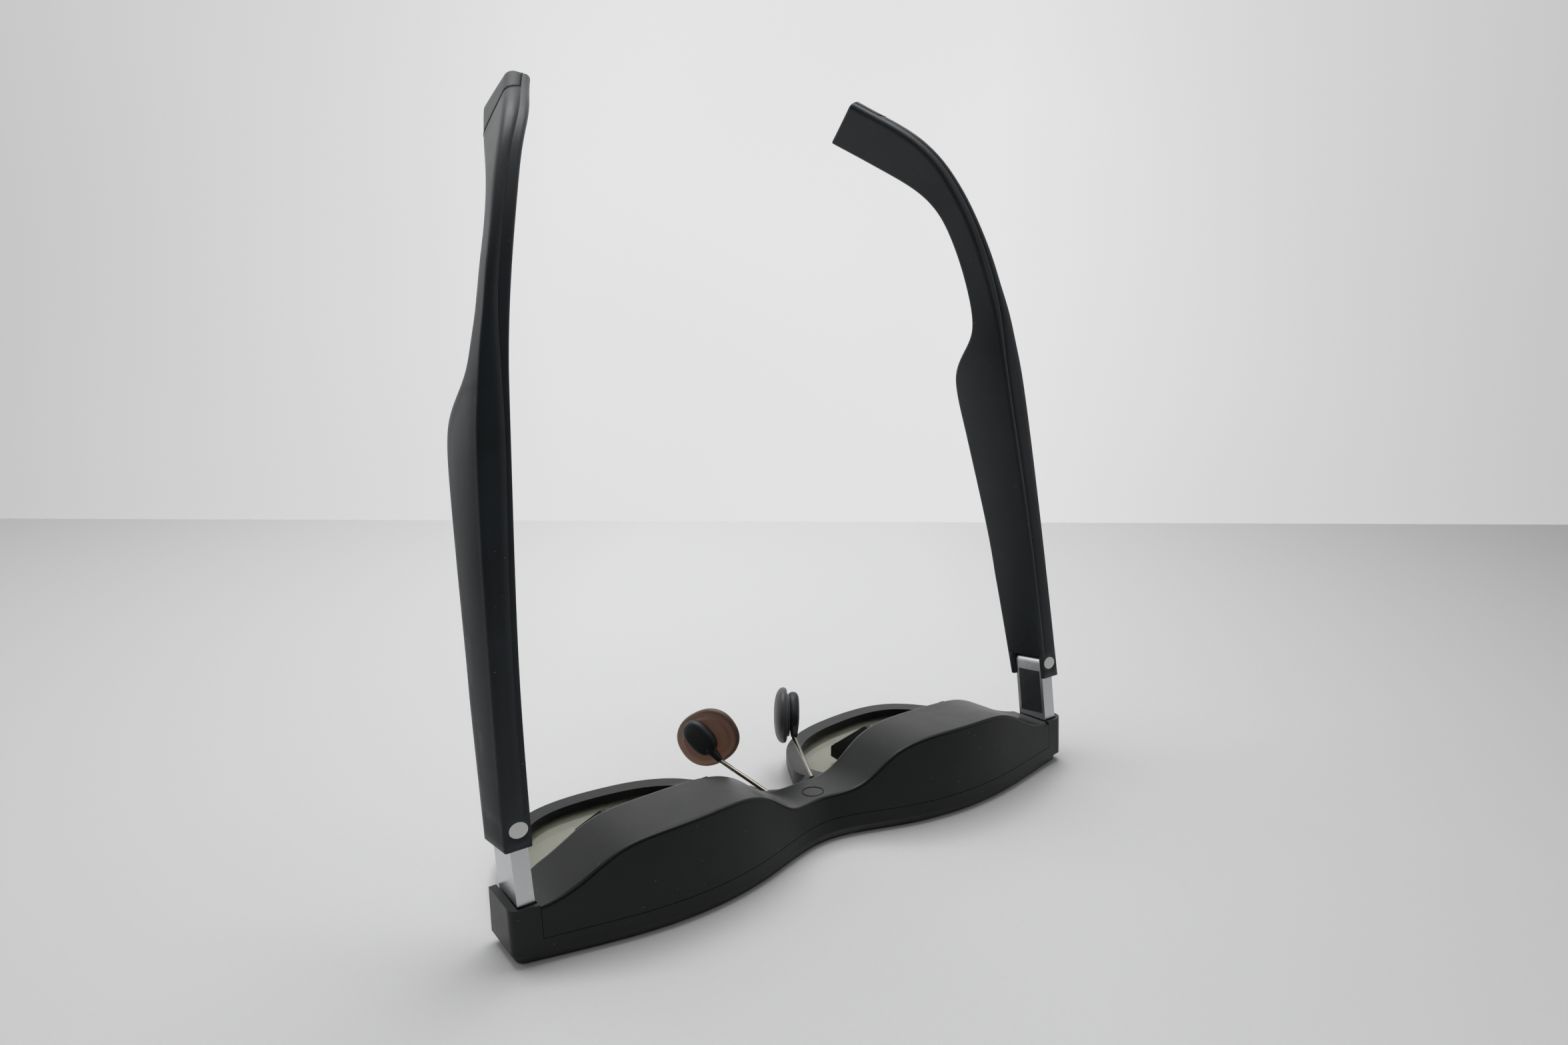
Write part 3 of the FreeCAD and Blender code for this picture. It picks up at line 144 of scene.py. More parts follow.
# ---- colours that several finishes share ----
PLASTIC_RUB = (0.045, 0.047, 0.05, 1.0)
METAL_RUB = (0.9, 0.9, 0.9, 1.0)
DUST_ON_PLASTIC = (0.38, 0.37, 0.36, 1.0)
DUST_ON_SILICONE = (0.45, 0.42, 0.38, 1.0)
PAINT_BLACK = (0.004, 0.004, 0.004, 1.0)


# ---------------------------------------------------------------- node helpers


def socket(tree, name, kind, value=None, way="INPUT"):
    made = tree.interface.new_socket(name=name, in_out=way, socket_type=kind)
    if value is not None:
        made.default_value = value
    return made


def new_group(name, inputs, outputs):
    tree = bpy.data.node_groups.new(name, "ShaderNodeTree")
    for label, kind, value in inputs:
        socket(tree, label, kind, value)
    for label, kind in outputs:
        socket(tree, label, kind, way="OUTPUT")
    return tree, tree.nodes.new("NodeGroupInput"), tree.nodes.new("NodeGroupOutput")


def add(tree, kind, **values):
    node = tree.nodes.new(kind)
    for key, value in values.items():
        setattr(node, key, value)
    return node


def math_node(tree, operation, first, second=None, third=None, clamp=False):
    node = add(tree, "ShaderNodeMath", operation=operation, use_clamp=clamp)
    for slot, value in enumerate((first, second, third)):
        if value is None:
            continue
        if isinstance(value, (int, float)):
            node.inputs[slot].default_value = value
        else:
            tree.links.new(value, node.inputs[slot])
    return node.outputs[0]


def object_place(tree):
    return add(tree, "ShaderNodeTexCoord").outputs["Object"]


def split_place(tree):
    # The object's own X, Y and Z as separate values.
    split = add(tree, "ShaderNodeSeparateXYZ")
    tree.links.new(object_place(tree), split.inputs["Vector"])
    return split.outputs


def noise(tree, place, scale, detail=2.0, roughness=0.5):
    node = add(tree, "ShaderNodeTexNoise")
    tree.links.new(place, node.inputs["Vector"])
    node.inputs["Detail"].default_value = detail
    node.inputs["Roughness"].default_value = roughness
    if isinstance(scale, (int, float)):
        node.inputs["Scale"].default_value = scale
    else:
        tree.links.new(scale, node.inputs["Scale"])
    return node.outputs["Fac"]


def remap(tree, value, low, high, to_low=0.0, to_high=1.0):
    node = add(tree, "ShaderNodeMapRange")
    tree.links.new(value, node.inputs["Value"])
    ends = {"From Min": low, "From Max": high, "To Min": to_low, "To Max": to_high}
    for label, number in ends.items():
        if isinstance(number, (int, float)):
            node.inputs[label].default_value = number
        else:
            tree.links.new(number, node.inputs[label])
    return node.outputs["Result"]


# ---------------------------------------------------------------- finishes that several materials share


def make_moulded_grain():
    # Fine spark texture of a moulded part, with slow drifts in its gloss.
    tree, given, out = new_group(
        "moulded_grain",
        [("Grain per metre", "NodeSocketFloat", 6500.0), ("Gloss", "NodeSocketFloat", 0.4),
         ("Gloss drift", "NodeSocketFloat", 0.06)],
        [("Height", "NodeSocketFloat"), ("Roughness", "NodeSocketFloat")])
    place = object_place(tree)
    fine = noise(tree, place, given.outputs["Grain per metre"], 2.0, 0.6)
    slow = noise(tree, place, 55.0, 3.0, 0.55)
    handled = noise(tree, place, 260.0, 4.0, 0.6)
    drift = math_node(tree, "ADD", math_node(tree, "SUBTRACT", slow, 0.5),
                      math_node(tree, "MULTIPLY", math_node(tree, "SUBTRACT", handled, 0.5), 0.6))
    drift = math_node(tree, "MULTIPLY", drift, given.outputs["Gloss drift"])
    drift = math_node(tree, "MULTIPLY", drift, 4.0)
    rough = math_node(tree, "ADD", given.outputs["Gloss"], drift, clamp=True)
    tree.links.new(rough, out.inputs["Roughness"])
    tree.links.new(fine, out.inputs["Height"])
    return tree


def make_edge_rub():
    # Mask of worn edges: where a rounded normal leaves the true one.
    tree, given, out = new_group(
        "edge_rub",
        [("Amount", "NodeSocketFloat", 0.5), ("Breakup per metre", "NodeSocketFloat", 900.0)],
        [("Mask", "NodeSocketFloat")])
    place = object_place(tree)
    rounded = add(tree, "ShaderNodeBevel", samples=4)
    rounded.inputs["Radius"].default_value = 0.35 * MM
    true_normal = add(tree, "ShaderNodeNewGeometry").outputs["Normal"]
    dot = add(tree, "ShaderNodeVectorMath", operation="DOT_PRODUCT")
    tree.links.new(rounded.outputs["Normal"], dot.inputs[0])
    tree.links.new(true_normal, dot.inputs[1])
    edge = remap(tree, dot.outputs["Value"], 0.985, 0.80)
    patchy = remap(tree, noise(tree, place, given.outputs["Breakup per metre"], 3.0, 0.65), 0.45, 0.7)
    worn = math_node(tree, "MULTIPLY", edge, patchy)
    mask = math_node(tree, "MULTIPLY", worn, given.outputs["Amount"], clamp=True)
    tree.links.new(mask, out.inputs["Mask"])
    return tree


def make_fine_dust():
    # Sparse specks and lint that settle on dark parts.
    tree, given, out = new_group(
        "fine_dust",
        [("Amount", "NodeSocketFloat", 0.5), ("Specks per metre", "NodeSocketFloat", 700.0)],
        [("Mask", "NodeSocketFloat")])
    place = object_place(tree)
    cells = add(tree, "ShaderNodeTexVoronoi", feature="F1")
    tree.links.new(place, cells.inputs["Vector"])
    tree.links.new(given.outputs["Specks per metre"], cells.inputs["Scale"])
    speck = remap(tree, cells.outputs["Distance"], 0.085, 0.03)
    chosen = add(tree, "ShaderNodeSeparateColor")
    tree.links.new(cells.outputs["Color"], chosen.inputs["Color"])
    rare = remap(tree, chosen.outputs["Red"], 0.80, 0.86)
    settled = math_node(tree, "MULTIPLY", speck, rare)
    mask = math_node(tree, "MULTIPLY", settled, given.outputs["Amount"], clamp=True)
    tree.links.new(mask, out.inputs["Mask"])
    return tree


def make_brushed_metal():
    # Fine parallel brushing along one axis.
    tree, given, out = new_group(
        "brushed_metal",
        [("Stretch", "NodeSocketVector", (1.0, 1.0, 0.03)),
         ("Lines per metre", "NodeSocketFloat", 9000.0), ("Gloss", "NodeSocketFloat", 0.28)],
        [("Height", "NodeSocketFloat"), ("Roughness", "NodeSocketFloat"),
         ("Tone", "NodeSocketFloat")])
    place = object_place(tree)
    stretched = add(tree, "ShaderNodeVectorMath", operation="MULTIPLY")
    tree.links.new(place, stretched.inputs[0])
    tree.links.new(given.outputs["Stretch"], stretched.inputs[1])
    lines = noise(tree, stretched.outputs["Vector"], given.outputs["Lines per metre"], 3.0, 0.7)
    slow = noise(tree, place, 400.0, 2.0, 0.5)
    drift = math_node(tree, "MULTIPLY", math_node(tree, "SUBTRACT", slow, 0.5), 0.12)
    rough = math_node(tree, "ADD", given.outputs["Gloss"], drift, clamp=True)
    tree.links.new(lines, out.inputs["Height"])
    tree.links.new(rough, out.inputs["Roughness"])
    tree.links.new(remap(tree, lines, 0.3, 0.7, 0.9, 1.05), out.inputs["Tone"])
    return tree


def make_crowned_side():
    # Gentle crown over the temples' flat sides, which turn from the top edge to the low one.
    tree, given, out = new_group(
        "crowned_side",
        [("Edge radius", "NodeSocketFloat", 0.002), ("Lean", "NodeSocketFloat", CROWN_LEAN),
         ("Turn", "NodeSocketFloat", CROWN_TURN)],
        [("Normal", "NodeSocketVector")])
    place = split_place(tree)
    c, s = math.cos(TEMPLE_TILT), math.sin(TEMPLE_TILT)
    down = math_node(tree, "ADD", place["Y"], REST_DROP)
    height = math_node(tree, "SUBTRACT", math_node(tree, "MULTIPLY", down, c),
                       math_node(tree, "MULTIPLY", place["Z"], s))
    length = math_node(tree, "ADD", math_node(tree, "MULTIPLY", down, s),
                       math_node(tree, "MULTIPLY", place["Z"], c))
    share = remap(tree, height, SIDE_TOP, SIDE_LOW, -1.0, 1.0)
    turned = math_node(tree, "MULTIPLY", share, given.outputs["Turn"])
    amount = math_node(tree, "ADD", given.outputs["Lean"], turned)
    fading = remap(tree, length, CROWN_END - CROWN_FADE, CROWN_END, 1.0, 0.0)
    amount = math_node(tree, "MULTIPLY", amount, fading)
    way = add(tree, "ShaderNodeVectorTransform", vector_type="VECTOR",
              convert_from="OBJECT", convert_to="WORLD")
    way.inputs["Vector"].default_value = (0.0, c, -s)
    lean = add(tree, "ShaderNodeVectorMath", operation="SCALE")
    tree.links.new(way.outputs["Vector"], lean.inputs["Vector"])
    tree.links.new(amount, lean.inputs["Scale"])
    rounded = add(tree, "ShaderNodeBevel", samples=8)
    tree.links.new(given.outputs["Edge radius"], rounded.inputs["Radius"])
    total = add(tree, "ShaderNodeVectorMath", operation="ADD")
    tree.links.new(rounded.outputs["Normal"], total.inputs[0])
    tree.links.new(lean.outputs["Vector"], total.inputs[1])
    unit = add(tree, "ShaderNodeVectorMath", operation="NORMALIZE")
    tree.links.new(total.outputs["Vector"], unit.inputs[0])
    tree.links.new(unit.outputs["Vector"], out.inputs["Normal"])
    return tree


CROWN = make_crowned_side()
GRAIN = make_moulded_grain()
RUB = make_edge_rub()
DUST = make_fine_dust()
BRUSHED = make_brushed_metal()


# ---------------------------------------------------------------- materials


def use_group(tree, group, **values):
    node = add(tree, "ShaderNodeGroup", node_tree=group)
    for label, value in values.items():
        node.inputs[label.replace("_", " ")].default_value = value
    return node


def blank(name):
    material = bpy.data.materials.new(name)
    material.use_nodes = True
    tree = material.node_tree
    tree.nodes.clear()
    out = add(tree, "ShaderNodeOutputMaterial")
    body = add(tree, "ShaderNodeBsdfPrincipled")
    tree.links.new(body.outputs["BSDF"], out.inputs["Surface"])
    return material, tree, body, out


def bump(tree, body, height, strength, distance, normal=None):
    node = add(tree, "ShaderNodeBump")
    node.inputs["Strength"].default_value = strength
    node.inputs["Distance"].default_value = distance
    tree.links.new(height, node.inputs["Height"])
    if normal is not None:
        tree.links.new(normal, node.inputs["Normal"])
    tree.links.new(node.outputs["Normal"], body.inputs["Normal"])


def mix_colour(tree, mask, first, second):
    node = add(tree, "ShaderNodeMix", data_type="RGBA")
    tree.links.new(mask, node.inputs["Factor"])
    for label, value in (("A", first), ("B", second)):
        slot = [s for s in node.inputs if s.name == label and s.type == "RGBA"][0]
        if isinstance(value, tuple):
            slot.default_value = value
        else:
            tree.links.new(value, slot)
    return [s for s in node.outputs if s.type == "RGBA"][0]


def moulded_plastic(name, colour, gloss, grain=6500.0, depth=0.012, drift=0.05, rub=0.35, dust=0.5,
                    level=0.30, soften=0.0):
    # Sizes in millimetres: depth of the grain, and soften, the radius of a crowned edge.
    material, tree, body, _ = blank(name)
    grained = use_group(tree, GRAIN, Grain_per_metre=grain, Gloss=gloss, Gloss_drift=drift)
    rubbed = use_group(tree, RUB, Amount=rub)
    dusty = use_group(tree, DUST, Amount=dust)
    place = object_place(tree)
    cloud = remap(tree, noise(tree, place, 90.0, 3.0), 0.3, 0.7)
    darker = tuple(c * 0.86 for c in colour[:3]) + (1.0,)
    lighter = tuple(c * 1.14 for c in colour[:3]) + (1.0,)
    base = mix_colour(tree, cloud, darker, lighter)
    base = mix_colour(tree, rubbed.outputs["Mask"], base, PLASTIC_RUB)
    base = mix_colour(tree, dusty.outputs["Mask"], base, DUST_ON_PLASTIC)
    tree.links.new(base, body.inputs["Base Color"])
    tree.links.new(grained.outputs["Roughness"], body.inputs["Roughness"])
    body.inputs["Specular IOR Level"].default_value = level
    crowned = None
    if soften:
        crowned = use_group(tree, CROWN, Edge_radius=soften * MM).outputs["Normal"]
    bump(tree, body, grained.outputs["Height"], 0.35, depth * MM, crowned)
    return material


def bright_metal(name, colour, gloss, stretch=(1.0, 1.0, 0.03)):
    material, tree, body, _ = blank(name)
    brushed = use_group(tree, BRUSHED, Stretch=stretch, Gloss=gloss)
    rubbed = use_group(tree, RUB, Amount=0.5)
    low = tuple(c * 0.9 for c in colour[:3]) + (1.0,)
    toned = mix_colour(tree, brushed.outputs["Tone"], low, colour)
    base = mix_colour(tree, rubbed.outputs["Mask"], toned, METAL_RUB)
    tree.links.new(base, body.inputs["Base Color"])
    tree.links.new(brushed.outputs["Roughness"], body.inputs["Roughness"])
    body.inputs["Metallic"].default_value = 1.0
    bump(tree, body, brushed.outputs["Height"], 0.25, 0.004 * MM)
    return material


def clear_glass(name, tint, gloss, ior=1.49):
    # Tinted optical plastic or glass with faint smears in its gloss.
    material, tree, body, _ = blank(name)
    place = object_place(tree)
    streaks = remap(tree, noise(tree, place, 120.0, 4.0, 0.6), 0.35, 0.75, gloss, gloss + 0.02)
    tree.links.new(streaks, body.inputs["Roughness"])
    body.inputs["Base Color"].default_value = tint
    body.inputs["Transmission Weight"].default_value = 1.0
    body.inputs["IOR"].default_value = ior
    return material


def rising_share(tree, distance, half):
    # 1 where the distance from the middle reaches half, and steeper with more squareness.
    share = math_node(tree, "ABSOLUTE", math_node(tree, "DIVIDE", distance, half))
    return math_node(tree, "POWER", share, EYE_SQUARENESS)


def visor_glass(name, tint, gloss):
    # Smoked clear over each eye, painted black behind the rim all round.
    material = clear_glass(name, tint, gloss)
    tree = material.node_tree
    body = next(node for node in tree.nodes if node.type == "BSDF_PRINCIPLED")
    place = split_place(tree)
    aside = math_node(tree, "SUBTRACT", math_node(tree, "ABSOLUTE", place["X"]), EYE_MIDDLE_X)
    below = math_node(tree, "SUBTRACT", place["Y"], EYE_MIDDLE_Y)
    reach = math_node(tree, "ADD", rising_share(tree, aside, EYE_HALF_WIDE),
                      rising_share(tree, below, EYE_HALF_TALL))
    painted = remap(tree, reach, 0.97, 1.03)
    base = mix_colour(tree, painted, tint, PAINT_BLACK)
    tree.links.new(base, body.inputs["Base Color"])
    return material


def half_mirror(name, tint, gloss, mirror):
    # Part of the light goes through, part comes back off a thin metal film.
    material, tree, body, out = blank(name)
    place = object_place(tree)
    film = remap(tree, noise(tree, place, 70.0, 3.0), 0.3, 0.7, gloss, gloss + 0.03)
    tree.links.new(film, body.inputs["Roughness"])
    body.inputs["Base Color"].default_value = tint
    body.inputs["Transmission Weight"].default_value = 1.0
    body.inputs["IOR"].default_value = 1.5
    coat = add(tree, "ShaderNodeBsdfGlossy")
    coat.inputs["Color"].default_value = tint
    coat.inputs["Roughness"].default_value = gloss
    both = add(tree, "ShaderNodeMixShader")
    both.inputs["Fac"].default_value = mirror
    tree.links.new(body.outputs["BSDF"], both.inputs[1])
    tree.links.new(coat.outputs["BSDF"], both.inputs[2])
    tree.links.new(both.outputs["Shader"], out.inputs["Surface"])
    return material


def soft_silicone(name, colour, deep_colour, gloss, through):
    material, tree, body, out = blank(name)
    grained = use_group(tree, GRAIN, Grain_per_metre=4000.0, Gloss=gloss, Gloss_drift=0.04)
    dusty = use_group(tree, DUST, Amount=0.7, Specks_per_metre=900.0)
    base = mix_colour(tree, dusty.outputs["Mask"], colour, DUST_ON_SILICONE)
    tree.links.new(base, body.inputs["Base Color"])
    tree.links.new(grained.outputs["Roughness"], body.inputs["Roughness"])
    body.inputs["Transmission Weight"].default_value = through
    body.inputs["IOR"].default_value = 1.41
    body.inputs["Subsurface Weight"].default_value = 0.3
    body.inputs["Subsurface Radius"].default_value = (1.0, 0.55, 0.4)
    body.inputs["Subsurface Scale"].default_value = 1.2 * MM
    bump(tree, body, grained.outputs["Height"], 0.3, 0.02 * MM)
    inside = add(tree, "ShaderNodeVolumeAbsorption")
    inside.inputs["Color"].default_value = deep_colour
    inside.inputs["Density"].default_value = 420.0
    tree.links.new(inside.outputs["Volume"], out.inputs["Volume"])
    return material


def printed_board(name):
    # Solder mask with copper tracks showing through it.
    material, tree, body, _ = blank(name)
    place = object_place(tree)
    cells = add(tree, "ShaderNodeTexVoronoi", feature="DISTANCE_TO_EDGE", distance="MANHATTAN")
    tree.links.new(place, cells.inputs["Vector"])
    cells.inputs["Scale"].default_value = 700.0
    tracks = remap(tree, cells.outputs["Distance"], 0.06, 0.02)
    base = mix_colour(tree, tracks, (0.008, 0.06, 0.035, 1.0), (0.05, 0.16, 0.06, 1.0))
    tree.links.new(base, body.inputs["Base Color"])
    rough = remap(tree, tracks, 0.0, 1.0, 0.32, 0.22)
    tree.links.new(rough, body.inputs["Roughness"])
    bump(tree, body, tracks, 0.5, 0.03 * MM)
    return material


def flex_film_material(name):
    # Amber film of a flexible circuit with a faint weave.
    material, tree, body, _ = blank(name)
    place = object_place(tree)
    weave = noise(tree, place, 2500.0, 2.0)
    base = mix_colour(tree, remap(tree, weave, 0.35, 0.65), (0.30, 0.13, 0.02, 1.0),
                      (0.42, 0.2, 0.04, 1.0))
    tree.links.new(base, body.inputs["Base Color"])
    tree.links.new(remap(tree, weave, 0.3, 0.7, 0.22, 0.34), body.inputs["Roughness"])
    return material


def make_materials():
    charcoal = (0.0046, 0.0056, 0.0066, 1.0)
    slate = (0.0190, 0.0235, 0.0280, 1.0)
    return {
        "frame_plastic": moulded_plastic("frame_plastic", charcoal, 0.34),
        "housing_plastic": moulded_plastic("housing_plastic", charcoal, 0.34),
        "temple_plastic": moulded_plastic("temple_plastic", slate, 0.36, soften=2.4),
        "inner_plastic": moulded_plastic("inner_plastic", slate, 0.40, soften=0.8),
        "tip_plastic": moulded_plastic("tip_plastic", slate, 0.42, grain=4200.0, depth=0.02,
                                       soften=2.4),
        "control_plastic": moulded_plastic("control_plastic", (0.02, 0.021, 0.022, 1.0), 0.34),
        "holder_black": moulded_plastic("holder_black", (0.010, 0.010, 0.010, 1.0), 0.55),
        "barrel_black": moulded_plastic("barrel_black", (0.008, 0.008, 0.008, 1.0), 0.6),
        "mount_black": moulded_plastic("mount_black", (0.022, 0.024, 0.027, 1.0), 0.42, level=0.4),
        "cover_black": moulded_plastic("cover_black", (0.040, 0.042, 0.045, 1.0), 0.20, rub=0.2,
                                       level=0.5),
        "sensor_window": moulded_plastic("sensor_window", charcoal, 0.31, drift=0.01, rub=0.15),
        "speaker_metal": moulded_plastic("speaker_metal", (0.06, 0.06, 0.06, 1.0), 0.4),
        "grille_metal": moulded_plastic("grille_metal", (0.02, 0.02, 0.02, 1.0), 0.45),
        "arm_metal": bright_metal("arm_metal", (0.62, 0.63, 0.65, 1.0), 0.30),
        "cap_metal": bright_metal("cap_metal", (0.70, 0.70, 0.69, 1.0), 0.34, stretch=(1.0, 1.0, 1.0)),
        "pin_steel": bright_metal("pin_steel", (0.52, 0.52, 0.53, 1.0), 0.3, stretch=(0.03, 1.0, 1.0)),
        "screw_steel": bright_metal("screw_steel", (0.55, 0.55, 0.56, 1.0), 0.3),
        "usb_steel": bright_metal("usb_steel", (0.58, 0.58, 0.60, 1.0), 0.26),
        "wire_metal": bright_metal("wire_metal", (0.23, 0.215, 0.185, 1.0), 0.26),
        "visor_tint": visor_glass("visor_tint", (0.62, 0.62, 0.54, 1.0), 0.02),
        "lens_glass": clear_glass("lens_glass", (0.9, 0.93, 0.92, 1.0), 0.01, ior=1.52),
        "splitter_glass": half_mirror("splitter_glass", (0.86, 0.87, 0.80, 1.0), 0.03, 0.2),
        "combiner_glass": half_mirror("combiner_glass", (0.86, 0.87, 0.78, 1.0), 0.03, 0.2),
        "display_glass": moulded_plastic("display_glass", (0.01, 0.012, 0.018, 1.0), 0.08, drift=0.01),
        "circuit_board": printed_board("circuit_board"),
        "flex_film": flex_film_material("flex_film"),
        "pad_brown": soft_silicone("pad_brown", (0.36, 0.25, 0.19, 1.0), (0.50, 0.30, 0.22, 1.0),
                                   0.34, 0.75),
        "pad_grey": soft_silicone("pad_grey", (0.12, 0.12, 0.13, 1.0), (0.3, 0.25, 0.25, 1.0),
                                  0.38, 0.4),
        "seam_shadow": moulded_plastic("seam_shadow", (0.0012, 0.0012, 0.0013, 1.0), 0.6, level=0.1),
    }


MATERIALS = make_materials()


def dress_nodes():
    for row in frame["record"]["subparts"]:
        node = frame["nodes"][row["node"]]
        for held in node.material_slots:
            held.material = MATERIALS[row["material_slot"]]


# ---------------------------------------------------------------- nose pads


def place_piece(name, mesh_maker, material_slot, body):
    mesh = bpy.data.meshes.new(name)
    bm = bmesh.new()
    mesh_maker(bm)
    bmesh.ops.recalc_face_normals(bm, faces=bm.faces)
    for face in bm.faces:
        face.smooth = True
    bm.to_mesh(mesh)
    bm.free()
    mesh.materials.append(MATERIALS[material_slot])
    piece = bpy.data.objects.new(name, mesh)
    bpy.context.scene.collection.objects.link(piece)
    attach(piece, body)
    return piece


def close_rings(bm, rings, first_tip, last_tip):
    # Skins a row of rings of equal count and closes both ends on a point.
    rows = [[bm.verts.new(point) for point in ring] for ring in rings]
    count = len(rows[0])
    for low, high in zip(rows[:-1], rows[1:]):
        for step in range(count):
            after = (step + 1) % count
            bm.faces.new((low[step], low[after], high[after], high[step]))
    for row, tip in ((rows[0], first_tip), (rows[-1], last_tip)):
        middle = bm.verts.new(tip)
        for step in range(count):
            bm.faces.new((row[step], row[(step + 1) % count], middle))


def rounded_oval(count, squareness):
    # Unit outline between an ellipse (2) and a rectangle (large values).
    points = []
    for step in range(count):
        turn = 2 * math.pi * step / count
        c, s = math.cos(turn), math.sin(turn)
        reach = (abs(c) ** squareness + abs(s) ** squareness) ** (-1 / squareness)
        points.append((c * reach, s * reach))
    return points


def pad_axes(side):
    # Outward from the nose, and along the face towards its foot.
    out = Vector((side * math.cos(PAD_YAW), -math.sin(PAD_YAW), 0))
    along = Vector((side * math.sin(PAD_YAW), math.cos(PAD_YAW), 0))
    return out, along, Vector((0, 0, 1))


def pad_rock(side_name):
    rows = frame["record"]["behaviour"]["joints"]
    row = next(joint for joint in rows if joint["name"] == side_name + "_pad_rock")
    return Vector(row["pos_m"]), Vector(row["axis"]).normalized()


def make_cushion(side_name, side, material_slot):
    out, along, up = pad_axes(side)
    low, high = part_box(side_name + "_nose_pad")
    middle = (low + high) / 2 + out * PAD_OUTWARD
    long_way = along * math.cos(PAD_LEAN) - up * math.sin(PAD_LEAN)
    short_way = along * math.sin(PAD_LEAN) + up * math.cos(PAD_LEAN)
    outline = rounded_oval(PAD_STEPS, PAD_SQUARENESS)
    # (height from the pad's middle plane in mm, share of the outline), from the mount's side.
    profile = [(1.0, 0.30), (1.0, 0.68), (0.92, 0.74), (0.45, 0.765), (0.36, 0.80), (0.33, 0.88),
               (0.18, 0.945), (-0.15, 0.985), (-0.6, 1.0), (-1.1, 0.985), (-1.6, 0.93),
               (-2.05, 0.83), (-2.45, 0.66), (-2.7, 0.45), (-2.82, 0.22)]

    def skin(bm):
        rings = []
        for height, share in profile:
            centre = middle + out * height * MM
            rings.append([
                centre + (long_way * u * PAD_HALF_LONG + short_way * v * PAD_HALF_TALL) * share
                for u, v in outline])
        close_rings(bm, rings, middle + out * profile[0][0] * MM,
                    middle + out * (profile[-1][0] * MM - PAD_CROWN))

    cushion = place_piece(side_name + "_nose_cushion", skin, material_slot, side_name + "_pad")
    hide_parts(side_name + "_nose_pad")


def make_mount(side_name, side):
    out = pad_axes(side)[0]
    pivot, wire_way = pad_rock(side_name)
    across = out.cross(wire_way)
    start = pivot - out * MOUNT_INWARD + wire_way * MOUNT_SHIFT
    outline = rounded_oval(MOUNT_STEPS, MOUNT_SQUARENESS)
    # (height from the start in mm, share of the outline), away from the nose.
    profile = [(-0.1, 0.5), (-0.1, 0.86), (0.08, 0.93), (0.5, 0.985), (1.1, 1.0), (1.7, 0.97),
               (2.1, 0.89), (2.38, 0.74), (2.5, 0.5), (2.54, 0.25)]

    def skin(bm):
        rings = []
        for height, share in profile:
            centre = start + out * height * MM
            rings.append([
                centre + (wire_way * u * MOUNT_HALF_LONG + across * v * MOUNT_HALF_WIDE) * share
                for u, v in outline])
        close_rings(bm, rings, start + out * profile[0][0] * MM,
                    start + out * (profile[-1][0] * MM + MOUNT_CROWN))
        sleeve = []
        for step in range(SLEEVE_RINGS + 1):
            share = step / SLEEVE_RINGS
            reach = SLEEVE_START + share * (SLEEVE_END - SLEEVE_START)
            radius = SLEEVE_START_RADIUS + share * (SLEEVE_END_RADIUS - SLEEVE_START_RADIUS)
            if step == SLEEVE_RINGS:
                radius *= SLEEVE_LIP
            sleeve.append([pivot - wire_way * reach + (out * c + across * s) * radius
                           for c, s in rounded_oval(SLEEVE_STEPS, 2.0)])
        close_rings(bm, sleeve, pivot - wire_way * SLEEVE_START, pivot - wire_way * SLEEVE_END)

    mount = place_piece(side_name + "_pad_carrier", skin, "mount_black", side_name + "_pad")
    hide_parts(side_name + "_pad_mount")


# ---------------------------------------------------------------- fine lines


def dark_line(name, chains, radius, body, closed=False):
    curve = bpy.data.curves.new(name, "CURVE")
    curve.dimensions = "3D"
    curve.bevel_depth = radius
    curve.bevel_resolution = 2
    for chain in chains:
        line = curve.splines.new("POLY")
        line.points.add(len(chain) - 1)
        for point, place in zip(line.points, chain):
            point.co = (*place, 1.0)
        line.use_cyclic_u = closed
    curve.materials.append(MATERIALS["seam_shadow"])
    piece = bpy.data.objects.new(name, curve)
    bpy.context.scene.collection.objects.link(piece)
    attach(piece, body)


def sensor_rim():
    # Fine joint round the window, on the bridge's sloping top.
    low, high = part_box("bridge_sensor_window")
    middle = (low + high) / 2
    radius = (high.x - low.x) / 2
    fall = (high.z - (low.z + WINDOW_THICK)) / (high.y - low.y)
    ring = []
    for step in range(WINDOW_STEPS):
        turn = 2 * math.pi * step / WINDOW_STEPS
        y = middle.y + radius * math.sin(turn)
        ring.append(Vector((middle.x + radius * math.cos(turn), y, high.z - fall * (y - low.y))))
    dark_line("sensor_window_joint", [ring], WINDOW_RIM, "front", closed=True)


def sharp_chains(node_name, turn):
    # Runs of the node's own edges where its surface turns sharply.
    bm = bmesh.new()
    bm.from_mesh(frame["nodes"][node_name].data)
    bmesh.ops.remove_doubles(bm, verts=bm.verts, dist=WELD_GAP)
    sharp = {edge for edge in bm.edges
             if len(edge.link_faces) == 2 and edge.calc_face_angle() > turn}
    chains = []
    while sharp:
        edge = min(sharp, key=lambda e: e.index)
        sharp.discard(edge)
        chain = list(edge.verts)
        for grow_at_end in (True, False):
            while True:
                tip = chain[-1] if grow_at_end else chain[0]
                following = [e for e in tip.link_edges if e in sharp]
                if not following:
                    break
                sharp.discard(following[0])
                other = following[0].other_vert(tip)
                chain = chain + [other] if grow_at_end else [other] + chain
        chains.append([vertex.co.copy() for vertex in chain])
    bm.free()
    return chains


def cap_seams():
    # Joint between each tip cap and the shells that it closes.
    for side_name in ("right", "left"):
        found = sharp_chains(side_name + "_tip_cap", SEAM_TURN)
        chains = [chain for chain in found if len(chain) >= SEAM_LEAST_POINTS]
        dark_line(side_name + "_tip_seam", chains, SEAM_RADIUS, side_name + "_temple")


# ---------------------------------------------------------------- studio


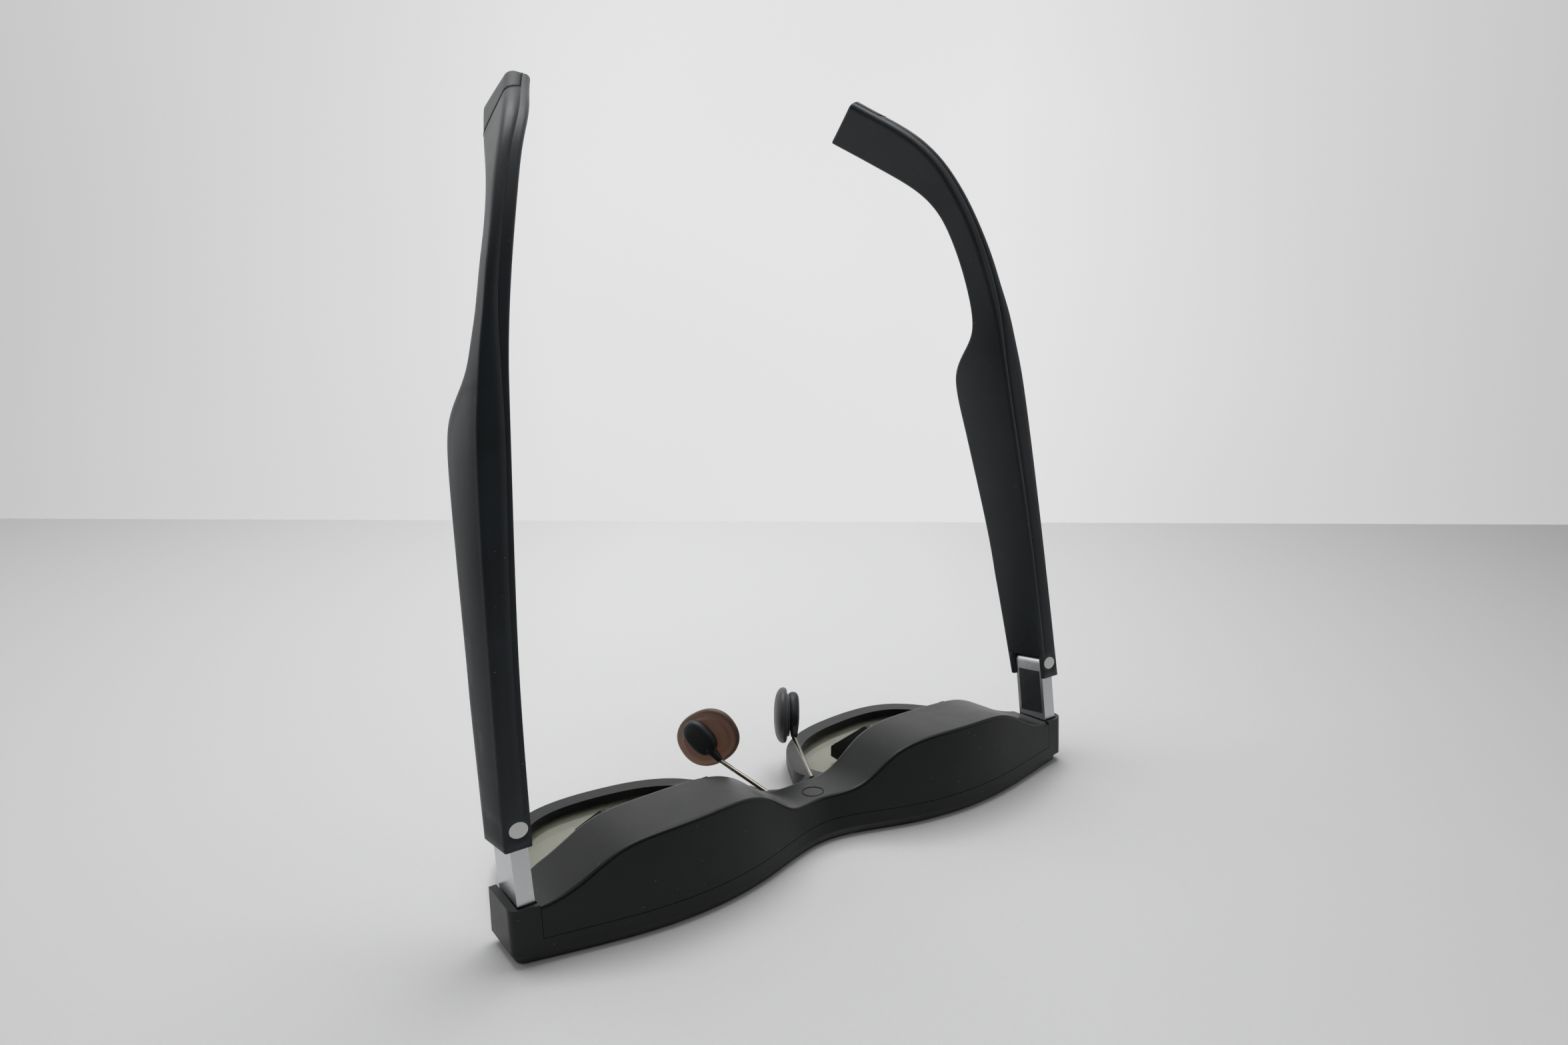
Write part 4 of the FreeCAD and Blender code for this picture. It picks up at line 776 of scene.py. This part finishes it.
def seen_directly(tree):
    # 1 for rays from the eye and for rays that mirror or pass through the part.
    path = add(tree, "ShaderNodeLightPath")
    both = math_node(tree, "MAXIMUM", path.outputs["Is Glossy Ray"],
                     path.outputs["Is Transmission Ray"])
    return math_node(tree, "MAXIMUM", path.outputs["Is Camera Ray"], both)


def wall_material():
    # Pale from inside, invisible from outside and to the light that falls on the part.
    # Painted shade: the glow falls off towards the two sides. The front of the room is darker in what
    # the part mirrors, a painted shade seen only in reflections.
    material = bpy.data.materials.new("backdrop_paper")
    material.use_nodes = True
    tree = material.node_tree
    tree.nodes.clear()
    out = add(tree, "ShaderNodeOutputMaterial")
    place = split_place(tree)
    aside = math_node(tree, "ABSOLUTE", place["X"])
    # painted shade: the glow darkens towards the two sides
    tone = remap(tree, aside, 0.10, 0.44, WALL_TONE, WALL_SIDE_SHADE_TONE)
    creases = noise(tree, object_place(tree), 3.0, 2.0)
    tone = math_node(tree, "MULTIPLY", tone, remap(tree, creases, 0.3, 0.7, 0.97, 1.03))
    # painted shade in reflections: the front of the room mirrors darker than it looks to the camera
    front = remap(tree, place["Y"], -0.45, 0.20, 0.10, 1.32)
    mirrored = add(tree, "ShaderNodeLightPath").outputs["Is Glossy Ray"]
    mirrored_front_shade = math_node(tree, "MULTIPLY", mirrored, math_node(tree, "SUBTRACT", 1.0, front))
    tone = math_node(tree, "MULTIPLY", tone, math_node(tree, "SUBTRACT", 1.0, mirrored_front_shade))
    glow = add(tree, "ShaderNodeEmission")
    glow.inputs["Color"].default_value = (1.0, 1.0, 1.0, 1.0)
    tree.links.new(tone, glow.inputs["Strength"])
    clear = add(tree, "ShaderNodeBsdfTransparent")
    inside = math_node(tree, "SUBTRACT", 1.0, add(tree, "ShaderNodeNewGeometry").outputs["Backfacing"])
    shown = math_node(tree, "MULTIPLY", inside, seen_directly(tree))
    mixed = add(tree, "ShaderNodeMixShader")
    tree.links.new(shown, mixed.inputs["Fac"])
    tree.links.new(clear.outputs["BSDF"], mixed.inputs[1])
    tree.links.new(glow.outputs["Emission"], mixed.inputs[2])
    tree.links.new(mixed.outputs["Shader"], out.inputs["Surface"])
    return material


def floor_material():
    # Matt paper with painted shade: darker towards the two sides, where less light falls.
    material, tree, body, _ = blank("table_paper")
    place = object_place(tree)
    fibres = noise(tree, place, 900.0, 4.0)
    low = (FLOOR_TONE * 0.985, FLOOR_TONE * 0.985, FLOOR_TONE * 0.98, 1.0)
    high = (FLOOR_TONE, FLOOR_TONE, FLOOR_TONE, 1.0)
    paper = mix_colour(tree, remap(tree, fibres, 0.3, 0.7), low, high)
    # painted shade towards the two sides
    aside = math_node(tree, "ABSOLUTE", split_place(tree)["X"])
    side = FLOOR_TONE * FLOOR_SIDE_SHADE_SHARE
    side_shade_blue = FLOOR_TONE * (FLOOR_SIDE_SHADE_SHARE - 0.01)
    paper = mix_colour(tree, remap(tree, aside, 0.06, 0.42), paper, (side, side, side_shade_blue, 1.0))
    tree.links.new(paper, body.inputs["Base Color"])
    body.inputs["Roughness"].default_value = 0.85
    body.inputs["Specular IOR Level"].default_value = 0.2
    return material


def room_outline(inset, height):
    # Rounded rectangle with the short way behind the part, drawn anticlockwise.
    half = ROOM_HALF_WIDE - inset
    back = ROOM_BEHIND - inset
    front = -ROOM_FRONT + inset
    bend = ROOM_CORNER - inset
    points = []
    corners = [(half - bend, back - bend), (bend - half, back - bend),
               (bend - half, front + bend), (half - bend, front + bend)]
    for quarter, (x, y) in enumerate(corners):
        for step in range(CORNER_STEPS + 1):
            turn = math.pi / 2 * (quarter + step / CORNER_STEPS)
            points.append((x + bend * math.cos(turn), y + bend * math.sin(turn), height))
    return points


def stage_piece(name, rings, material, filled):
    mesh = bpy.data.meshes.new(name)
    bm = bmesh.new()
    rows = [[bm.verts.new(point) for point in ring] for ring in rings]
    for low, high in zip(rows[:-1], rows[1:]):
        for step in range(len(low)):
            after = (step + 1) % len(low)
            face = bm.faces.new((low[step], high[step], high[after], low[after]))
            face.smooth = True
    if filled:
        bm.faces.new(rows[0])
    bm.to_mesh(mesh)
    bm.free()
    mesh.materials.append(material)
    made = bpy.data.objects.new(name, mesh)
    bpy.context.scene.collection.objects.link(made)
    return made


def build_studio():
    low, high = CAD_BOX
    middle = (low + high) / 2
    ground = low.z - FLOOR_DROP
    floor = stage_piece("table_top", [room_outline(0, ground)], floor_material(), True)
    rings = []
    for step in range(COVE_STEPS + 1):
        turn = math.pi / 2 * step / COVE_STEPS
        rings.append(room_outline(COVE_RADIUS * (1 - math.sin(turn)),
                                  ground + COVE_LIFT + COVE_RADIUS * (1 - math.cos(turn))))
    rings.append(room_outline(0, ROOM_TALL))
    wall = stage_piece("backdrop", rings, wall_material(), False)
    for piece in (floor, wall):
        piece.location = (middle.x, middle.y, 0)
        piece.rotation_euler = (0, 0, CAMERA_AZIMUTH)
    wall.visible_shadow = False


def area_light(name, place, aim, wide, tall, power):
    light = bpy.data.lights.new(name, "AREA")
    light.shape = "RECTANGLE"
    light.size = wide
    light.size_y = tall
    light.energy = power
    holder = bpy.data.objects.new(name, light)
    holder.location = place
    holder.rotation_mode = "QUATERNION"
    holder.rotation_quaternion = (aim - place).to_track_quat("-Z", "Y")
    bpy.context.scene.collection.objects.link(holder)


def build_lights():
    low, high = CAD_BOX
    middle = (low + high) / 2
    behind = Vector((-math.sin(CAMERA_AZIMUTH), math.cos(CAMERA_AZIMUTH), 0))
    left = Vector((-math.cos(CAMERA_AZIMUTH), -math.sin(CAMERA_AZIMUTH), 0))
    overhead = middle + behind * 0.20 + left * 0.04 + Vector((0, 0, 0.56))
    area_light("overhead_softbox", overhead, middle, 0.6, 0.45, SOFTBOX_POWER)
    side = middle + left * 0.60 + behind * 0.16 + Vector((0, 0, 0.22))
    area_light("side_softbox", side, middle, 0.35, 0.5, SIDE_POWER)
    world = bpy.data.worlds.new("room")
    world.use_nodes = True
    tree = world.node_tree
    tree.nodes.clear()
    out = add(tree, "ShaderNodeOutputWorld")
    air = add(tree, "ShaderNodeBackground")
    air.inputs["Color"].default_value = (0.98, 0.99, 1.0, 1.0)
    level = remap(tree, seen_directly(tree), 0.0, 1.0, FLOOR_LIGHT, WALL_TONE)
    tree.links.new(level, air.inputs["Strength"])
    tree.links.new(air.outputs["Background"], out.inputs["Surface"])
    bpy.context.scene.world = world


def build_camera():
    sin_a, cos_a = math.sin(CAMERA_AZIMUTH), math.cos(CAMERA_AZIMUTH)
    sin_e, cos_e = math.sin(CAMERA_ELEVATION), math.cos(CAMERA_ELEVATION)
    back = Vector((sin_a * cos_e, -cos_a * cos_e, sin_e))
    right = Vector((cos_a, sin_a, 0))
    up = back.cross(right)
    rolled_right = math.cos(CAMERA_ROLL) * right + math.sin(CAMERA_ROLL) * up
    rolled_up = math.cos(CAMERA_ROLL) * up - math.sin(CAMERA_ROLL) * right
    lens = bpy.data.cameras.new("camera")
    lens.sensor_width = SENSOR_WIDE
    lens.lens = LENS_LONG
    lens.clip_start = CLIP_NEAR
    lens.clip_end = CLIP_FAR
    holder = bpy.data.objects.new("camera", lens)
    axes = Matrix((rolled_right, rolled_up, back)).transposed().to_4x4()
    holder.matrix_world = Matrix.Translation(CAMERA_PLACE) @ axes
    bpy.context.scene.collection.objects.link(holder)
    bpy.context.scene.camera = holder


# ---------------------------------------------------------------- the whole scene

build_camera()
build_studio()
build_lights()
dress_nodes()
make_cushion("right", -1, "pad_brown")
make_cushion("left", 1, "pad_grey")
make_mount("right", -1)
make_mount("left", 1)
sensor_rim()
cap_seams()

bpy.context.scene.view_settings.view_transform = "Standard"

bpy.context.view_layer.update()
